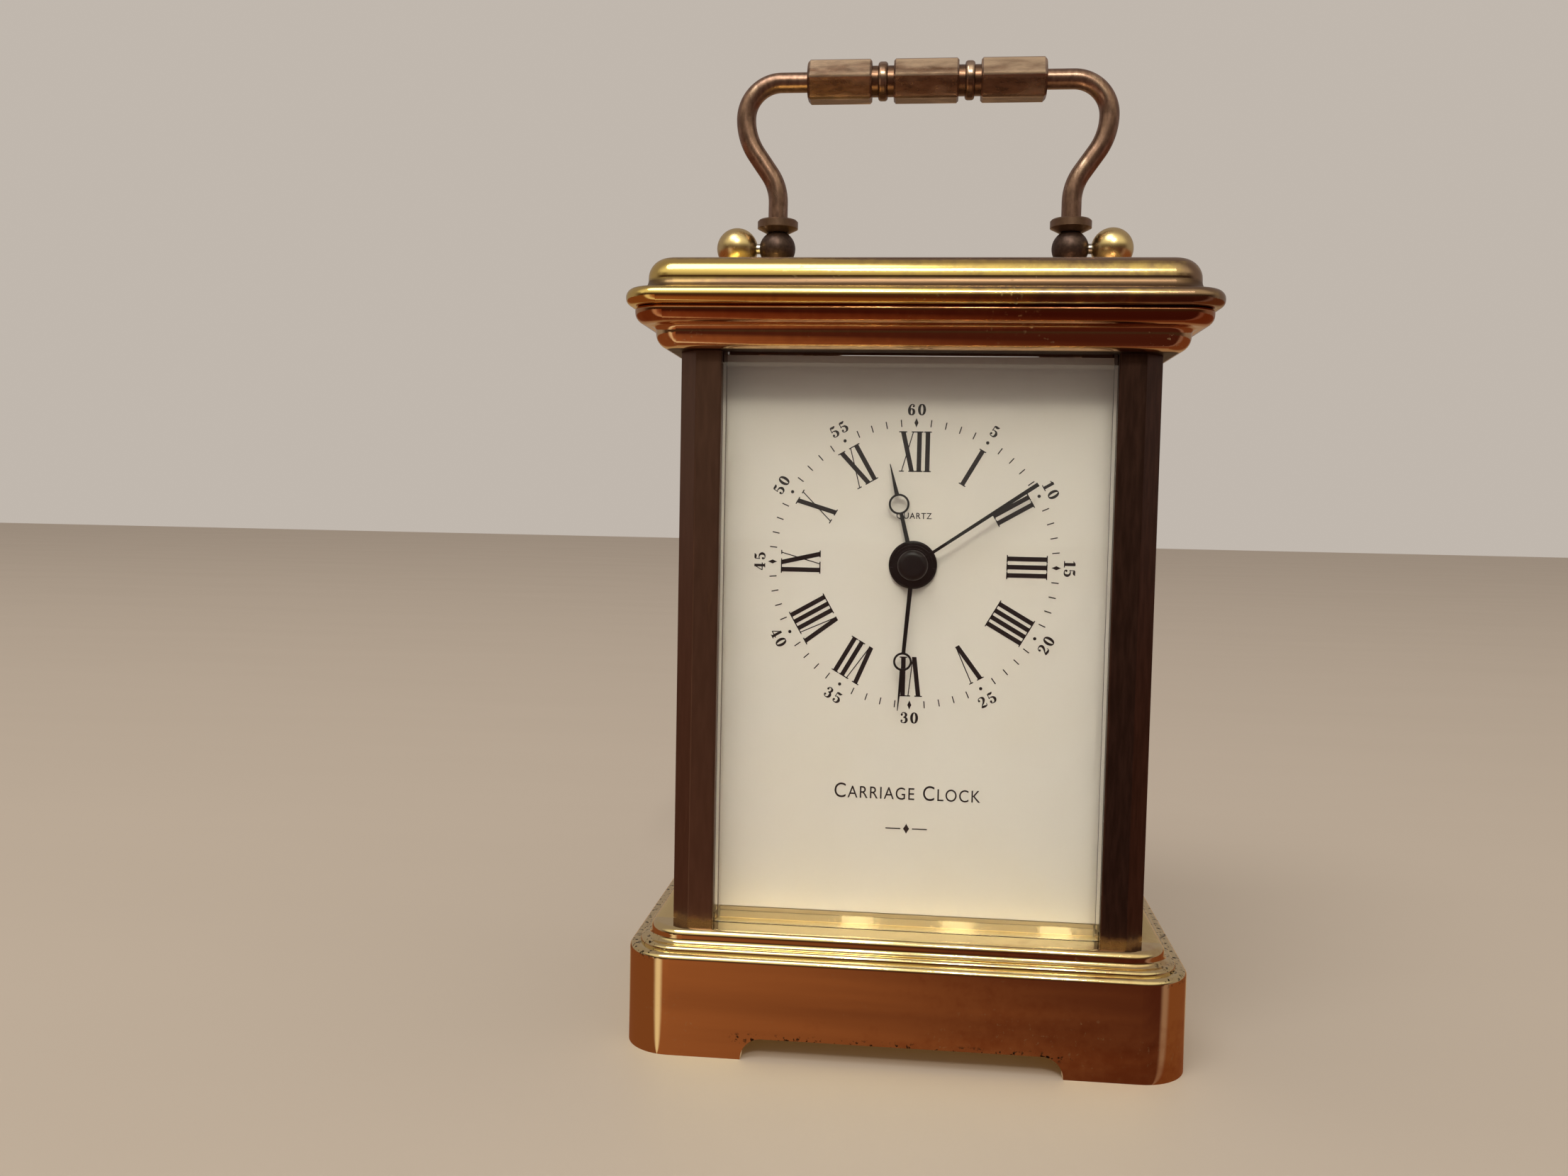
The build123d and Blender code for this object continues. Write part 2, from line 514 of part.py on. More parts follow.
def make_door_stop():
    """A bent brass strip under the cornice that the closed door meets."""
    x, y = DOOR_STOP_SCREW
    lip = DOOR_PIVOT_Y - DOOR_HALF_THICK - 0.1
    body = block(x - 4, x + 4, y - 2.5, lip, CORNICE_Z - 0.6, CORNICE_Z)
    body += block(x - 4, x + 4, lip - 0.6, lip, CORNICE_Z - 3.5, CORNICE_Z)
    return body - upright(x, y, 0.65, CORNICE_Z - 0.6, CORNICE_Z)


def make_door_stop_screw():
    """The screw of the door stop."""
    return Pos(*DOOR_STOP_SCREW, CORNICE_Z - 0.6) * screw(SMALL_SCREW, 2.5)


# ---------------------------------------------------------------- movement case
def make_movement_case():
    """Moulded box with the train's bay above and the battery's bay below, open behind."""
    body = block(-CASE_HALF_X, CASE_HALF_X, CASE_FRONT, CASE_REAR, CASE_BOTTOM, CASE_TOP)
    body = fillet(body.edges().filter_by(Axis.Y), 2.0)
    inner_x, inner_front = CASE_HALF_X - CASE_WALL, CASE_FRONT + CASE_WALL
    body -= block(-inner_x, inner_x, inner_front, CASE_REAR, BAY_FLOOR, BAY_TOP)
    body -= block(-inner_x, inner_x, inner_front, CASE_REAR, TRAIN_FLOOR, CASE_TOP - CASE_WALL)
    for place in COVER_BOSSES:
        body += along_y(place, 1.6, inner_front, COVER_FRONT)
        body -= along_y(place, 0.65, COVER_FRONT - 5, COVER_FRONT)
    body -= along_y(CENTRE, BUSH_R, CASE_FRONT, inner_front)
    body += along_y(MINUTE, 0.6, inner_front, LAYER_MOTION + MOTION_THICK + 0.2)
    for place, radius in ((THIRD, ARBOR_R), (INTER, ARBOR_R), (ROTOR, ARBOR_R), (SETTING, 0.6)):
        body -= along_y(place, radius + RUN, inner_front - 0.8, inner_front)
    return body


def make_movement_cover():
    """Rear plate that carries the back pivots of the train."""
    inner_x = CASE_HALF_X - CASE_WALL - 0.1
    plate = block(-inner_x, inner_x, COVER_FRONT, CASE_REAR, TRAIN_FLOOR + 0.1, CASE_TOP - CASE_WALL - 0.1)
    for place in (CENTRE, THIRD, INTER, ROTOR):
        plate -= along_y(place, ARBOR_R + RUN, COVER_FRONT, CASE_REAR - 0.2)
    plate -= along_y(SETTING, 1.05 + RUN, COVER_FRONT, CASE_REAR)
    for place in COVER_BOSSES:
        plate -= along_y(place, 0.65, COVER_FRONT, CASE_REAR)
    return plate


def make_cover_screws():
    """Four screws that close the movement."""
    return group(Pos(x, CASE_REAR, z) * Rot(90, 0, 0) * screw(SMALL_SCREW, 5)
                 for x, z in COVER_BOSSES)


def make_bush():
    """The threaded bush that the hour tube turns in, with a flange behind the dial."""
    flange = along_y(CENTRE, 4.2, DIAL_FRONT + DIAL_THICK, CASE_FRONT)
    body = flange + along_y(CENTRE, BUSH_R, DIAL_FRONT - 0.8, CASE_FRONT + CASE_WALL)
    return body - along_y(CENTRE, HOUR_TUBE_R + RUN, DIAL_FRONT - 1, CASE_FRONT + 2)


def make_bush_nut():
    """The round nut that clamps the dial, with two slots for its spanner."""
    nut = along_y(CENTRE, NUT_R, NUT_FRONT, DIAL_FRONT)
    nut = chamfer(nut.edges().group_by(Axis.Y)[0], 0.25)
    nut -= along_y(CENTRE, BUSH_R, NUT_FRONT, DIAL_FRONT)
    return nut - block(-NUT_R, NUT_R, NUT_FRONT, NUT_FRONT + 0.3, DIAL_Z - 0.4, DIAL_Z + 0.4)


def make_washer():
    """Rubber washer between the dial and the movement."""
    front = DIAL_FRONT + DIAL_THICK
    return along_y(CENTRE, 8.0, front, CASE_FRONT) - along_y(CENTRE, 4.25, front, CASE_FRONT)


# ---------------------------------------------------------------- wheel train
def toothed_disc(place, front, thickness, teeth, module, phase):
    """A toothed disc; phase is the direction of one tooth, degrees from +X towards +Z.

    The teeth are short and thin, so that pairs in mesh keep their backlash all round.
    """
    pitch_r, pitch = module * teeth / 2, 2 * pi / teeth
    tip_r, root_r = pitch_r + 0.65 * module, pitch_r - 1.1 * module
    tip_half, root_half = (0.09, 0.19) if teeth <= 12 else (0.10, 0.27)
    outline = []
    for tooth in range(teeth):
        middle = radians(phase) + tooth * pitch
        for radius, offset in ((root_r, -root_half), (tip_r, -tip_half),
                               (tip_r, tip_half), (root_r, root_half)):
            angle = middle + offset * pitch
            outline.append((radius * cos(angle), radius * sin(angle)))
    flat = make_face(Polyline(*outline, close=True))
    return extrude(Plane(origin=(place[0], front + thickness, place[1]), x_dir=(1, 0, 0),
                         z_dir=(0, -1, 0)) * flat, thickness)


def meshing_phase(direction, teeth):
    """Phase of a disc that meets, from a direction, a tooth of the disc it follows."""
    return direction + 180.0 + 180.0 / teeth


def make_seconds_wheel():
    """Seconds wheel, its pinion and the long arbor that carries the seconds hand."""
    return (along_y(CENTRE, ARBOR_R, SECONDS_HAND_FRONT, CASE_REAR - 0.4)
            + toothed_disc(CENTRE, LAYER_SECONDS, WHEEL_THICK, SECONDS_WHEEL, SECONDS_MODULE, INTER_DIRECTION)
            + toothed_disc(CENTRE, LAYER_THIRD, WHEEL_THICK, SECONDS_PINION, THIRD_MODULE, THIRD_DIRECTION))


def make_third_wheel():
    """Third wheel, between the seconds pinion and the centre wheel."""
    return (inner_arbor(THIRD, ARBOR_R)
            + toothed_disc(THIRD, LAYER_THIRD, WHEEL_THICK, THIRD_WHEEL, THIRD_MODULE,
                           meshing_phase(THIRD_DIRECTION, THIRD_WHEEL))
            + toothed_disc(THIRD, LAYER_CENTRE, WHEEL_THICK, THIRD_PINION, CENTRE_MODULE,
                           THIRD_DIRECTION + 180))


def make_centre_wheel():
    """Centre wheel, which drives the cannon through a friction fit."""
    wheel = toothed_disc(CENTRE, LAYER_CENTRE, WHEEL_THICK, CENTRE_WHEEL, CENTRE_MODULE,
                         THIRD_DIRECTION + 180.0 / CENTRE_WHEEL)
    return wheel - along_y(CENTRE, CANNON_R + RUN, LAYER_CENTRE, LAYER_CENTRE + WHEEL_THICK)


def inner_arbor(place, radius):
    """An arbor from the case's front wall to the rear plate."""
    return along_y(place, radius, CASE_FRONT + 0.5, CASE_REAR - 0.4)


def make_intermediate_wheel():
    """Intermediate wheel, between the rotor and the seconds wheel."""
    return (inner_arbor(INTER, ARBOR_R)
            + toothed_disc(INTER, LAYER_SECONDS, WHEEL_THICK, INTER_PINION, SECONDS_MODULE,
                           meshing_phase(INTER_DIRECTION, INTER_PINION))
            + toothed_disc(INTER, LAYER_INTER, WHEEL_THICK, INTER_WHEEL, INTER_MODULE, ROTOR_DIRECTION))


def make_rotor():
    """Rotor arbor with its pinion."""
    return (inner_arbor(ROTOR, ARBOR_R)
            + toothed_disc(ROTOR, LAYER_INTER, WHEEL_THICK, ROTOR_PINION, INTER_MODULE,
                           meshing_phase(ROTOR_DIRECTION, ROTOR_PINION)))


def make_rotor_magnet():
    """The ring magnet on the rotor arbor."""
    magnet = along_y(ROTOR, MAGNET_R, LAYER_ROTOR, LAYER_ROTOR + 1.6)
    return magnet - along_y(ROTOR, ARBOR_R, LAYER_ROTOR, LAYER_ROTOR + 1.6)


def make_cannon_pinion():
    """The tube that carries the minute hand, with its pinion."""
    body = along_y(CENTRE, CANNON_R, MINUTE_HAND_FRONT, LAYER_THIRD - 0.7)
    body += toothed_disc(CENTRE, LAYER_MOTION, MOTION_THICK, CANNON_PINION, MOTION_MODULE, MINUTE_DIRECTION)
    return body - along_y(CENTRE, ARBOR_R + RUN, MINUTE_HAND_FRONT, LAYER_THIRD - 0.7)


def make_minute_wheel():
    """Minute wheel and pinion, turning on a post of the case."""
    body = toothed_disc(MINUTE, LAYER_MOTION, MOTION_THICK, MINUTE_WHEEL, MOTION_MODULE,
                        meshing_phase(MINUTE_DIRECTION, MINUTE_WHEEL))
    body += toothed_disc(MINUTE, LAYER_HOUR, LAYER_MOTION - LAYER_HOUR, MINUTE_PINION, MOTION_MODULE,
                         MINUTE_DIRECTION + 180)
    return body - along_y(MINUTE, 0.6 + RUN, LAYER_HOUR, LAYER_MOTION + MOTION_THICK)


def make_hour_wheel():
    """Hour wheel and the tube that carries the hour hand."""
    body = toothed_disc(CENTRE, LAYER_HOUR, MOTION_THICK, HOUR_WHEEL, MOTION_MODULE,
                        MINUTE_DIRECTION + 180.0 / HOUR_WHEEL)
    body += along_y(CENTRE, HOUR_TUBE_R, HOUR_HAND_FRONT, LAYER_HOUR)
    return body - along_y(CENTRE, CANNON_R + RUN, HOUR_HAND_FRONT, LAYER_HOUR + MOTION_THICK)


def make_setting_pinion():
    """Pinion and stem that turn the minute wheel from behind the case."""
    wheel_tooth = meshing_phase(MINUTE_DIRECTION, MINUTE_WHEEL)
    pitch = 360.0 / MINUTE_WHEEL
    offset = (wheel_tooth - SETTING_DIRECTION) % pitch
    phase = meshing_phase(SETTING_DIRECTION, SETTING_PINION) - offset * MINUTE_WHEEL / SETTING_PINION
    body = along_y(SETTING, 0.6, CASE_FRONT + 0.5, LAYER_MOTION)
    body += toothed_disc(SETTING, LAYER_MOTION, MOTION_THICK, SETTING_PINION, MOTION_MODULE, phase)
    return body + along_y(SETTING, 1.05, LAYER_MOTION, CASE_REAR + 3.0)


def make_setting_knob():
    """The knurled knob that sets the hands."""
    front, back = CASE_REAR + 0.4, CASE_REAR + 4.0
    knob = chamfer(along_y(SETTING, 4.0, front, back).edges(), 0.35)
    for ridge in range(24):
        place = step_from(SETTING, 4.05, ridge * 15.0)
        knob -= along_y(place, 0.22, front, back)
    return knob - along_y(SETTING, 1.05, front, CASE_REAR + 3.0)


# ---------------------------------------------------------------- motor, circuit and battery
def make_stator():
    """Stator: a core bar for the coil and two arms round the rotor's hole."""
    body = block(STATOR_X0, STATOR_X1, STATOR_FRONT, STATOR_REAR, STATOR_Z0, STATOR_Z1)
    body -= block(STATOR_X0 + STATOR_BAR, STATOR_X1 - STATOR_BAR, STATOR_FRONT, STATOR_REAR,
                  STATOR_WINDOW_Z, STATOR_CORE_Z)
    return body - along_y(ROTOR, MAGNET_R + 0.4, STATOR_FRONT, STATOR_REAR)


def coil_place(radius, x0, x1):
    """A cylinder round the stator's core bar."""
    return along_x((STATOR_FRONT + STATOR_REAR) / 2, (STATOR_CORE_Z + STATOR_Z1) / 2, radius, x0, x1)


def make_bobbin():
    """Plastic bobbin on the stator's core bar."""
    x0, x1, flange = STATOR_X0 + STATOR_BAR + 0.5, STATOR_X1 - STATOR_BAR - 0.5, 0.6
    body = coil_place(1.45, x0, x1) + coil_place(COIL_R, x0, x0 + flange)
    body += coil_place(COIL_R, x1 - flange, x1)
    return body - block(x0, x1, STATOR_FRONT - RUN, STATOR_REAR + RUN,
                        STATOR_CORE_Z - RUN, STATOR_Z1 + RUN)


def make_coil():
    """The copper winding."""
    x0, x1 = STATOR_X0 + STATOR_BAR + 1.1, STATOR_X1 - STATOR_BAR - 1.1
    return coil_place(COIL_R - 0.15, x0, x1) - coil_place(1.45, x0, x1)


def make_circuit_board():
    """Circuit board beside the train."""
    x0, x1, z0, z1 = BOARD
    return block(x0, x1, BOARD_FRONT, BOARD_REAR, z0, z1)


def make_circuit_chip():
    """The blob of resin over the timing chip."""
    blob = along_y((-17.6, 72.0), 3.0, BOARD_REAR, BOARD_REAR + 1.2)
    return fillet(blob.edges().group_by(Axis.Y)[-1], 0.9)


def make_crystal():
    """The can of the quartz crystal."""
    can = along_x(BOARD_REAR + 1.0, 83.0, 1.0, -21.0, -15.0)
    return fillet(can.edges().group_by(Axis.X)[0], 0.3)


def make_positive_contact():
    """Flat contact for the battery's cap."""
    x1 = CASE_HALF_X - CASE_WALL
    return block(x1 - 0.35, x1, CASE_FRONT + 4, CASE_REAR - 2, BAY_FLOOR + 2, BAY_TOP - 2)


def make_negative_contact():
    """Bent leaf spring for the battery's base."""
    wall = CASE_WALL - CASE_HALF_X
    z0, z1 = BAY_FLOOR + 2, BAY_TOP - 2
    middle, tip = (z0 + z1) / 2, BATTERY_X0 - 0.05
    leaf = make_face(Polyline((wall, z0), (wall + 0.35, z0), (tip, middle), (wall + 0.35, z1), (wall, z1),
                              (wall, z1 - 0.5), (tip - 0.5, middle), (wall, z0 + 0.5), close=True))
    return extrude(face_on(CASE_REAR - 4) * leaf, CASE_DEPTH - 10)


def make_battery():
    """A size AA dry cell, lying along X."""
    y, z = CASE_FRONT + CASE_WALL + BATTERY_R + 0.1, BAY_FLOOR + BATTERY_R + 0.1
    end = BATTERY_X0 + BATTERY_LENGTH
    can = along_x(y, z, BATTERY_R, BATTERY_X0, end - 1.2)
    can = fillet(can.edges(), 0.5)
    return can + along_x(y, z, 2.75, end - 1.3, end)


# ---------------------------------------------------------------- hands
def placed_hand(flat, front, thickness, angle):
    """A flat shape, drawn pointing up, turned clockwise by an angle about the centre."""
    plane = Plane(origin=(0, front + thickness, DIAL_Z), x_dir=(1, 0, 0), z_dir=(0, -1, 0))
    return extrude(plane * Rot(0, 0, -angle) * flat, thickness)


def moon_hand(length, ring_at, ring_r, boss_r, root_half, tip_half):
    """Outline of a hand with an open ring, a tapered stem and a long pointed tip."""
    neck = ring_at - ring_r + HAND_RING_WALL / 2
    stem = make_face(Polyline((-root_half, 0), (root_half, 0), (0.8 * root_half, neck),
                              (-0.8 * root_half, neck), close=True))
    base = ring_at + ring_r - HAND_RING_WALL / 2
    tip = make_face(Polyline((-tip_half, base), (tip_half, base), (HAND_POINT_HALF, length),
                             (-HAND_POINT_HALF, length), close=True))
    ring = Pos(0, ring_at) * (Circle(ring_r) - Circle(ring_r - HAND_RING_WALL))
    return stem + tip + ring + Circle(boss_r)


def make_hour_hand():
    """Hour hand on the hour tube."""
    flat = moon_hand(15.0, 9.05, 1.5, HOUR_BOSS_R, 0.34, 0.32)
    hand = placed_hand(flat, -22.2, 0.3, HOUR_ANGLE)
    hand += along_y(CENTRE, HOUR_BOSS_R, HOUR_HAND_FRONT, -21.95)
    return hand - along_y(CENTRE, HOUR_TUBE_R, -23, -21)


def make_minute_hand():
    """Minute hand on the cannon."""
    flat = moon_hand(21.3, 14.1, 1.35, MINUTE_BOSS_R, 0.34, 0.28)
    hand = placed_hand(flat, -22.85, 0.25, MINUTE_ANGLE)
    hand += along_y(CENTRE, MINUTE_BOSS_R, MINUTE_HAND_FRONT, -22.6)
    return hand - along_y(CENTRE, CANNON_R, -24, -22)


def make_seconds_hand():
    """Straight seconds hand with its domed cap, on the seconds arbor."""
    flat = make_face(Polyline((-0.2, 0), (0.2, 0), (0.3, 21.2), (-0.3, 21.2), close=True))
    hand = placed_hand(flat, -23.45, 0.2, SECONDS_ANGLE)
    cap = along_y(CENTRE, SECONDS_CAP_R, -24.35, -23.2)
    hand += fillet(cap.edges().group_by(Axis.Y)[0], 0.8)
    return hand - along_y(CENTRE, ARBOR_R, SECONDS_HAND_FRONT, -23.2)


# ---------------------------------------------------------------- the whole clock
def build():
    """Every node of the clock, by name."""
    nodes = {
        "base_shell": make_base_shell(), "post_screws_lower": make_lower_screws(),
        "glass_front": make_front_glass(), "glass_left": make_side_glass(-1),
        "glass_right": make_side_glass(1), "cornice": make_cornice(),
        "post_screws_upper": make_upper_screws(), "top_cap": make_top_cap(),
        "cap_screws": make_cap_screws(), "handle_post_nuts": make_post_nuts(),
        "handle_pins": make_handle_pins(), "handle_grip": make_grip(),
        "dial_plate": make_dial_plate(), "dial_screws": make_dial_screws(),
        "door_frame": make_door_frame(), "door_glass": make_door_glass(),
        "door_pins": make_door_pins(), "door_knob": make_door_knob(),
        "door_stop": make_door_stop(), "door_stop_screw": make_door_stop_screw(),
        "movement_case": make_movement_case(), "movement_cover": make_movement_cover(),
        "cover_screws": make_cover_screws(), "dial_bush": make_bush(),
        "dial_nut": make_bush_nut(), "dial_washer": make_washer(),
        "seconds_wheel": make_seconds_wheel(), "third_wheel": make_third_wheel(),
        "centre_wheel": make_centre_wheel(), "intermediate_wheel": make_intermediate_wheel(),
        "rotor": make_rotor(), "rotor_magnet": make_rotor_magnet(),
        "cannon_pinion": make_cannon_pinion(), "minute_wheel": make_minute_wheel(),
        "hour_wheel": make_hour_wheel(), "setting_pinion": make_setting_pinion(),
        "setting_knob": make_setting_knob(), "stator": make_stator(),
        "coil_bobbin": make_bobbin(), "coil_winding": make_coil(),
        "circuit_board": make_circuit_board(), "circuit_chip": make_circuit_chip(),
        "quartz_crystal": make_crystal(), "contact_positive": make_positive_contact(),
        "contact_negative": make_negative_contact(), "battery": make_battery(),
        "hour_hand": make_hour_hand(), "minute_hand": make_minute_hand(),
        "seconds_hand": make_seconds_hand(),
    }
    for side, name in ((-1, "left"), (1, "right")):
        nodes[f"post_front_{name}"] = make_post(side, -1)
        nodes[f"post_rear_{name}"] = make_post(side, 1)
        nodes[f"handle_post_{name}"] = make_handle_post(side)
        nodes[f"handle_eye_{name}"] = make_handle_eye(side)
        nodes[f"handle_bow_{name}"] = make_bow(side)
    return nodes


os.makedirs("parts", exist_ok=True)
for node_name, shape in build().items():
    export_step(shape, f"parts/{node_name}.step")
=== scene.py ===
"""A brass carriage clock with a quartz movement, dressed for a soft studio.

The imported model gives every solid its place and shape. This script gives each
one its finish, prints the dial, and sets up the floor, the lamps and the
camera. Lengths are written in millimetres and turned into metres by MM, except
where a docstring says metres. +X is to the right, +Y to the back and +Z up, and
the origin is the centre of the base on the floor.
"""
import logging
import math
from dataclasses import dataclass, field
from enum import Enum
from functools import cache
from typing import Any, Mapping, Sequence, Union

import bpy
from mathutils import Matrix, Vector

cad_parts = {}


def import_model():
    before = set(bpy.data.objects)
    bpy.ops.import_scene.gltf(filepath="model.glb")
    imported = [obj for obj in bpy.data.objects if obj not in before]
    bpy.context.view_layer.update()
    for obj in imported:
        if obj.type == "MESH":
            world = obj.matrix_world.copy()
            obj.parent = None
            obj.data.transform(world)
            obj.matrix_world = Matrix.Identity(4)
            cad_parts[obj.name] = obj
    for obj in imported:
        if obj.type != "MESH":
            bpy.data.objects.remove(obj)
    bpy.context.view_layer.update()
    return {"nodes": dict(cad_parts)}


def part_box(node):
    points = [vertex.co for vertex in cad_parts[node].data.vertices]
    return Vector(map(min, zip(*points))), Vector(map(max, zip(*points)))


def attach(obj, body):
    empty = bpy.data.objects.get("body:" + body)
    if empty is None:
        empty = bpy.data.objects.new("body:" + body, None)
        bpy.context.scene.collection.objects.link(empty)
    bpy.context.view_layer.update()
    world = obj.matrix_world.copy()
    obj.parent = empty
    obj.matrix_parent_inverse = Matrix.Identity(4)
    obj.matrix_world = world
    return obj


MM = 0.001
CASE_WIDTH = 80
LOG = logging.getLogger("carriage_clock")

Colour = tuple[float, float, float]
Spine = Sequence[tuple[float, float, float]]
Node = bpy.types.Node
Thing = bpy.types.Object


# ---------------------------------------------------------------- shader graphs
class Signal:
    """A shader socket that can be used in arithmetic."""

    def __init__(self, graph: "Graph", socket: bpy.types.NodeSocket) -> None:
        """Wraps one output socket of a graph."""
        self.graph = graph
        self.socket = socket

    def __add__(self, other: "Term") -> "Signal":
        """The sum of two values."""
        return self.graph.math("ADD", self, other)

    def __sub__(self, other: "Term") -> "Signal":
        """The difference of two values."""
        return self.graph.math("SUBTRACT", self, other)

    def __rsub__(self, other: "Term") -> "Signal":
        """The difference of two values, turned round."""
        return self.graph.math("SUBTRACT", other, self)

    def __mul__(self, other: "Term") -> "Signal":
        """The product of two values."""
        return self.graph.math("MULTIPLY", self, other)

    def __truediv__(self, other: "Term") -> "Signal":
        """The quotient of two values."""
        return self.graph.math("DIVIDE", self, other)

    def __pow__(self, other: "Term") -> "Signal":
        """One value to the power of another."""
        return self.graph.math("POWER", self, other)

    __radd__ = __add__
    __rmul__ = __mul__

    def size(self) -> "Signal":
        """The value without its sign."""
        return self.graph.math("ABSOLUTE", self)

    def at_most(self, other: "Term") -> "Signal":
        """The smaller of two values."""
        return self.graph.math("MINIMUM", self, other)

    def at_least(self, other: "Term") -> "Signal":
        """The larger of two values."""
        return self.graph.math("MAXIMUM", self, other)

    def rise(self, low: float, high: float) -> "Signal":
        """A soft step from 0 to 1.

        Args:
            low: The value below which the step is 0.
            high: The value above which the step is 1.

        Returns:
            The step. Where high is less than low, it falls instead.
        """
        bottom, top = min(low, high), max(low, high)
        step = self.graph.node(
            "ShaderNodeMapRange",
            {"interpolation_type": "SMOOTHSTEP"},
            {"Value": self, "From Min": bottom, "From Max": top},
        )
        made = Signal(self.graph, step.outputs[0])
        return made if low <= high else 1.0 - made


Term = Union[Signal, float]
Feed = Union[Signal, float, Sequence[float]]


class Graph:
    """The node tree of one material or of the world."""

    MIX_FIRST, MIX_SECOND, MIX_RESULT = 6, 7, 2

    def __init__(self, tree: bpy.types.NodeTree) -> None:
        """Empties the tree.

        Args:
            tree: The tree to build in.
        """
        self.tree = tree
        tree.nodes.clear()

    def node(
        self,
        kind: str,
        settings: Mapping[str, Any] | None = None,
        inputs: Mapping[Union[str, int], Feed] | None = None,
    ) -> Node:
        """Adds one node.

        Args:
            kind: The node's type.
            settings: Properties to set first.
            inputs: What each input socket gets, a value or a signal.

        Returns:
            The new node.
        """
        made = self.tree.nodes.new(kind)
        for key, value in (settings or {}).items():
            setattr(made, key, value)
        for key, value in (inputs or {}).items():
            socket = made.inputs[key]
            if isinstance(value, Signal):
                self.tree.links.new(value.socket, socket)
            elif socket.type == "RGBA" and len(value) == 3:
                socket.default_value = (*value, 1.0)
            else:
                socket.default_value = value
        return made

    def math(self, operation: str, *terms: Term) -> Signal:
        """Adds one step of arithmetic.

        Args:
            operation: The Math node's operation.
            terms: The values it works on.

        Returns:
            The result.
        """
        made = self.node(
            "ShaderNodeMath", {"operation": operation}, dict(enumerate(terms))
        )
        return Signal(self, made.outputs[0])

    def place(self) -> Signal:
        """The point of the surface, in the object's own metres."""
        return Signal(self, self.node("ShaderNodeTexCoord").outputs["Object"])

    def along(self, axis: str) -> Signal:
        """One coordinate of the surface's point, in millimetres.

        Args:
            axis: X, Y or Z.

        Returns:
            The coordinate.
        """
        parts = self.node("ShaderNodeSeparateXYZ", inputs={"Vector": self.place()})
        return Signal(self, parts.outputs[axis]) * (1 / MM)

    def grain(
        self,
        size: float,
        detail: float = 3.0,
        stretch: Sequence[float] = (1, 1, 1),
        shift: float = 0.0,
    ) -> Signal:
        """Cloudy variation around 0.5.

        Args:
            size: The size of its features, in millimetres.
            detail: How many finer layers it has.
            stretch: How much longer the features are along X, Y and Z.
            shift: Moves the pattern, so that two layers differ.

        Returns:
            The variation.
        """
        mapped = self.node(
            "ShaderNodeMapping",
            inputs={
                "Vector": self.place(),
                "Location": (shift, shift, shift),
                "Scale": tuple(1 / (size * MM * s) for s in stretch),
            },
        )
        made = self.node(
            "ShaderNodeTexNoise",
            inputs={
                "Vector": Signal(self, mapped.outputs[0]),
                "Scale": 1.0,
                "Detail": detail,
                "Roughness": 0.55,
            },
        )
        return Signal(self, made.outputs[0])

    def mix(self, share: Term, first: Feed, second: Feed) -> Signal:
        """Blends two colours.

        Args:
            share: How much of the second colour shows.
            first: The colour at share 0.
            second: The colour at share 1.

        Returns:
            The blend.
        """
        made = self.node(
            "ShaderNodeMix",
            {"data_type": "RGBA"},
            {0: share, self.MIX_FIRST: first, self.MIX_SECOND: second},
        )
        return Signal(self, made.outputs[self.MIX_RESULT])

    def bump(self, height: Term, depth: float) -> Signal:
        """Turns heights into a tilted normal.

        Args:
            height: The height, from 0 to 1.
            depth: What a height of 1 stands for, in millimetres.

        Returns:
            The normal.
        """
        made = self.node(
            "ShaderNodeBump", inputs={"Height": height, "Distance": depth * MM}
        )
        return Signal(self, made.outputs[0])


# ---------------------------------------------------------------- finishes
def shaded(colour: Colour, share: float) -> Colour:
    """A lighter or darker colour of the same hue."""
    return tuple(share * part for part in colour)


class Finish:
    """What a surface is made of. Each kind says what its shader gets."""

    name: str

    def shade(self, graph: Graph) -> dict[str, Feed]:
        """The inputs of the surface's Principled shader."""
        raise NotImplementedError

    def output(self, graph: Graph) -> Signal:
        """The surface's shader."""
        made = graph.node("ShaderNodeBsdfPrincipled", inputs=self.shade(graph))
        return Signal(graph, made.outputs[0])

    @cache
    def make(self) -> bpy.types.Material:
        """The Blender material, made once for each finish."""
        material = bpy.data.materials.new(f"{self.name}_finish")
        material.use_nodes = True
        graph = Graph(material.node_tree)
        graph.node("ShaderNodeOutputMaterial", inputs={"Surface": self.output(graph)})
        return material


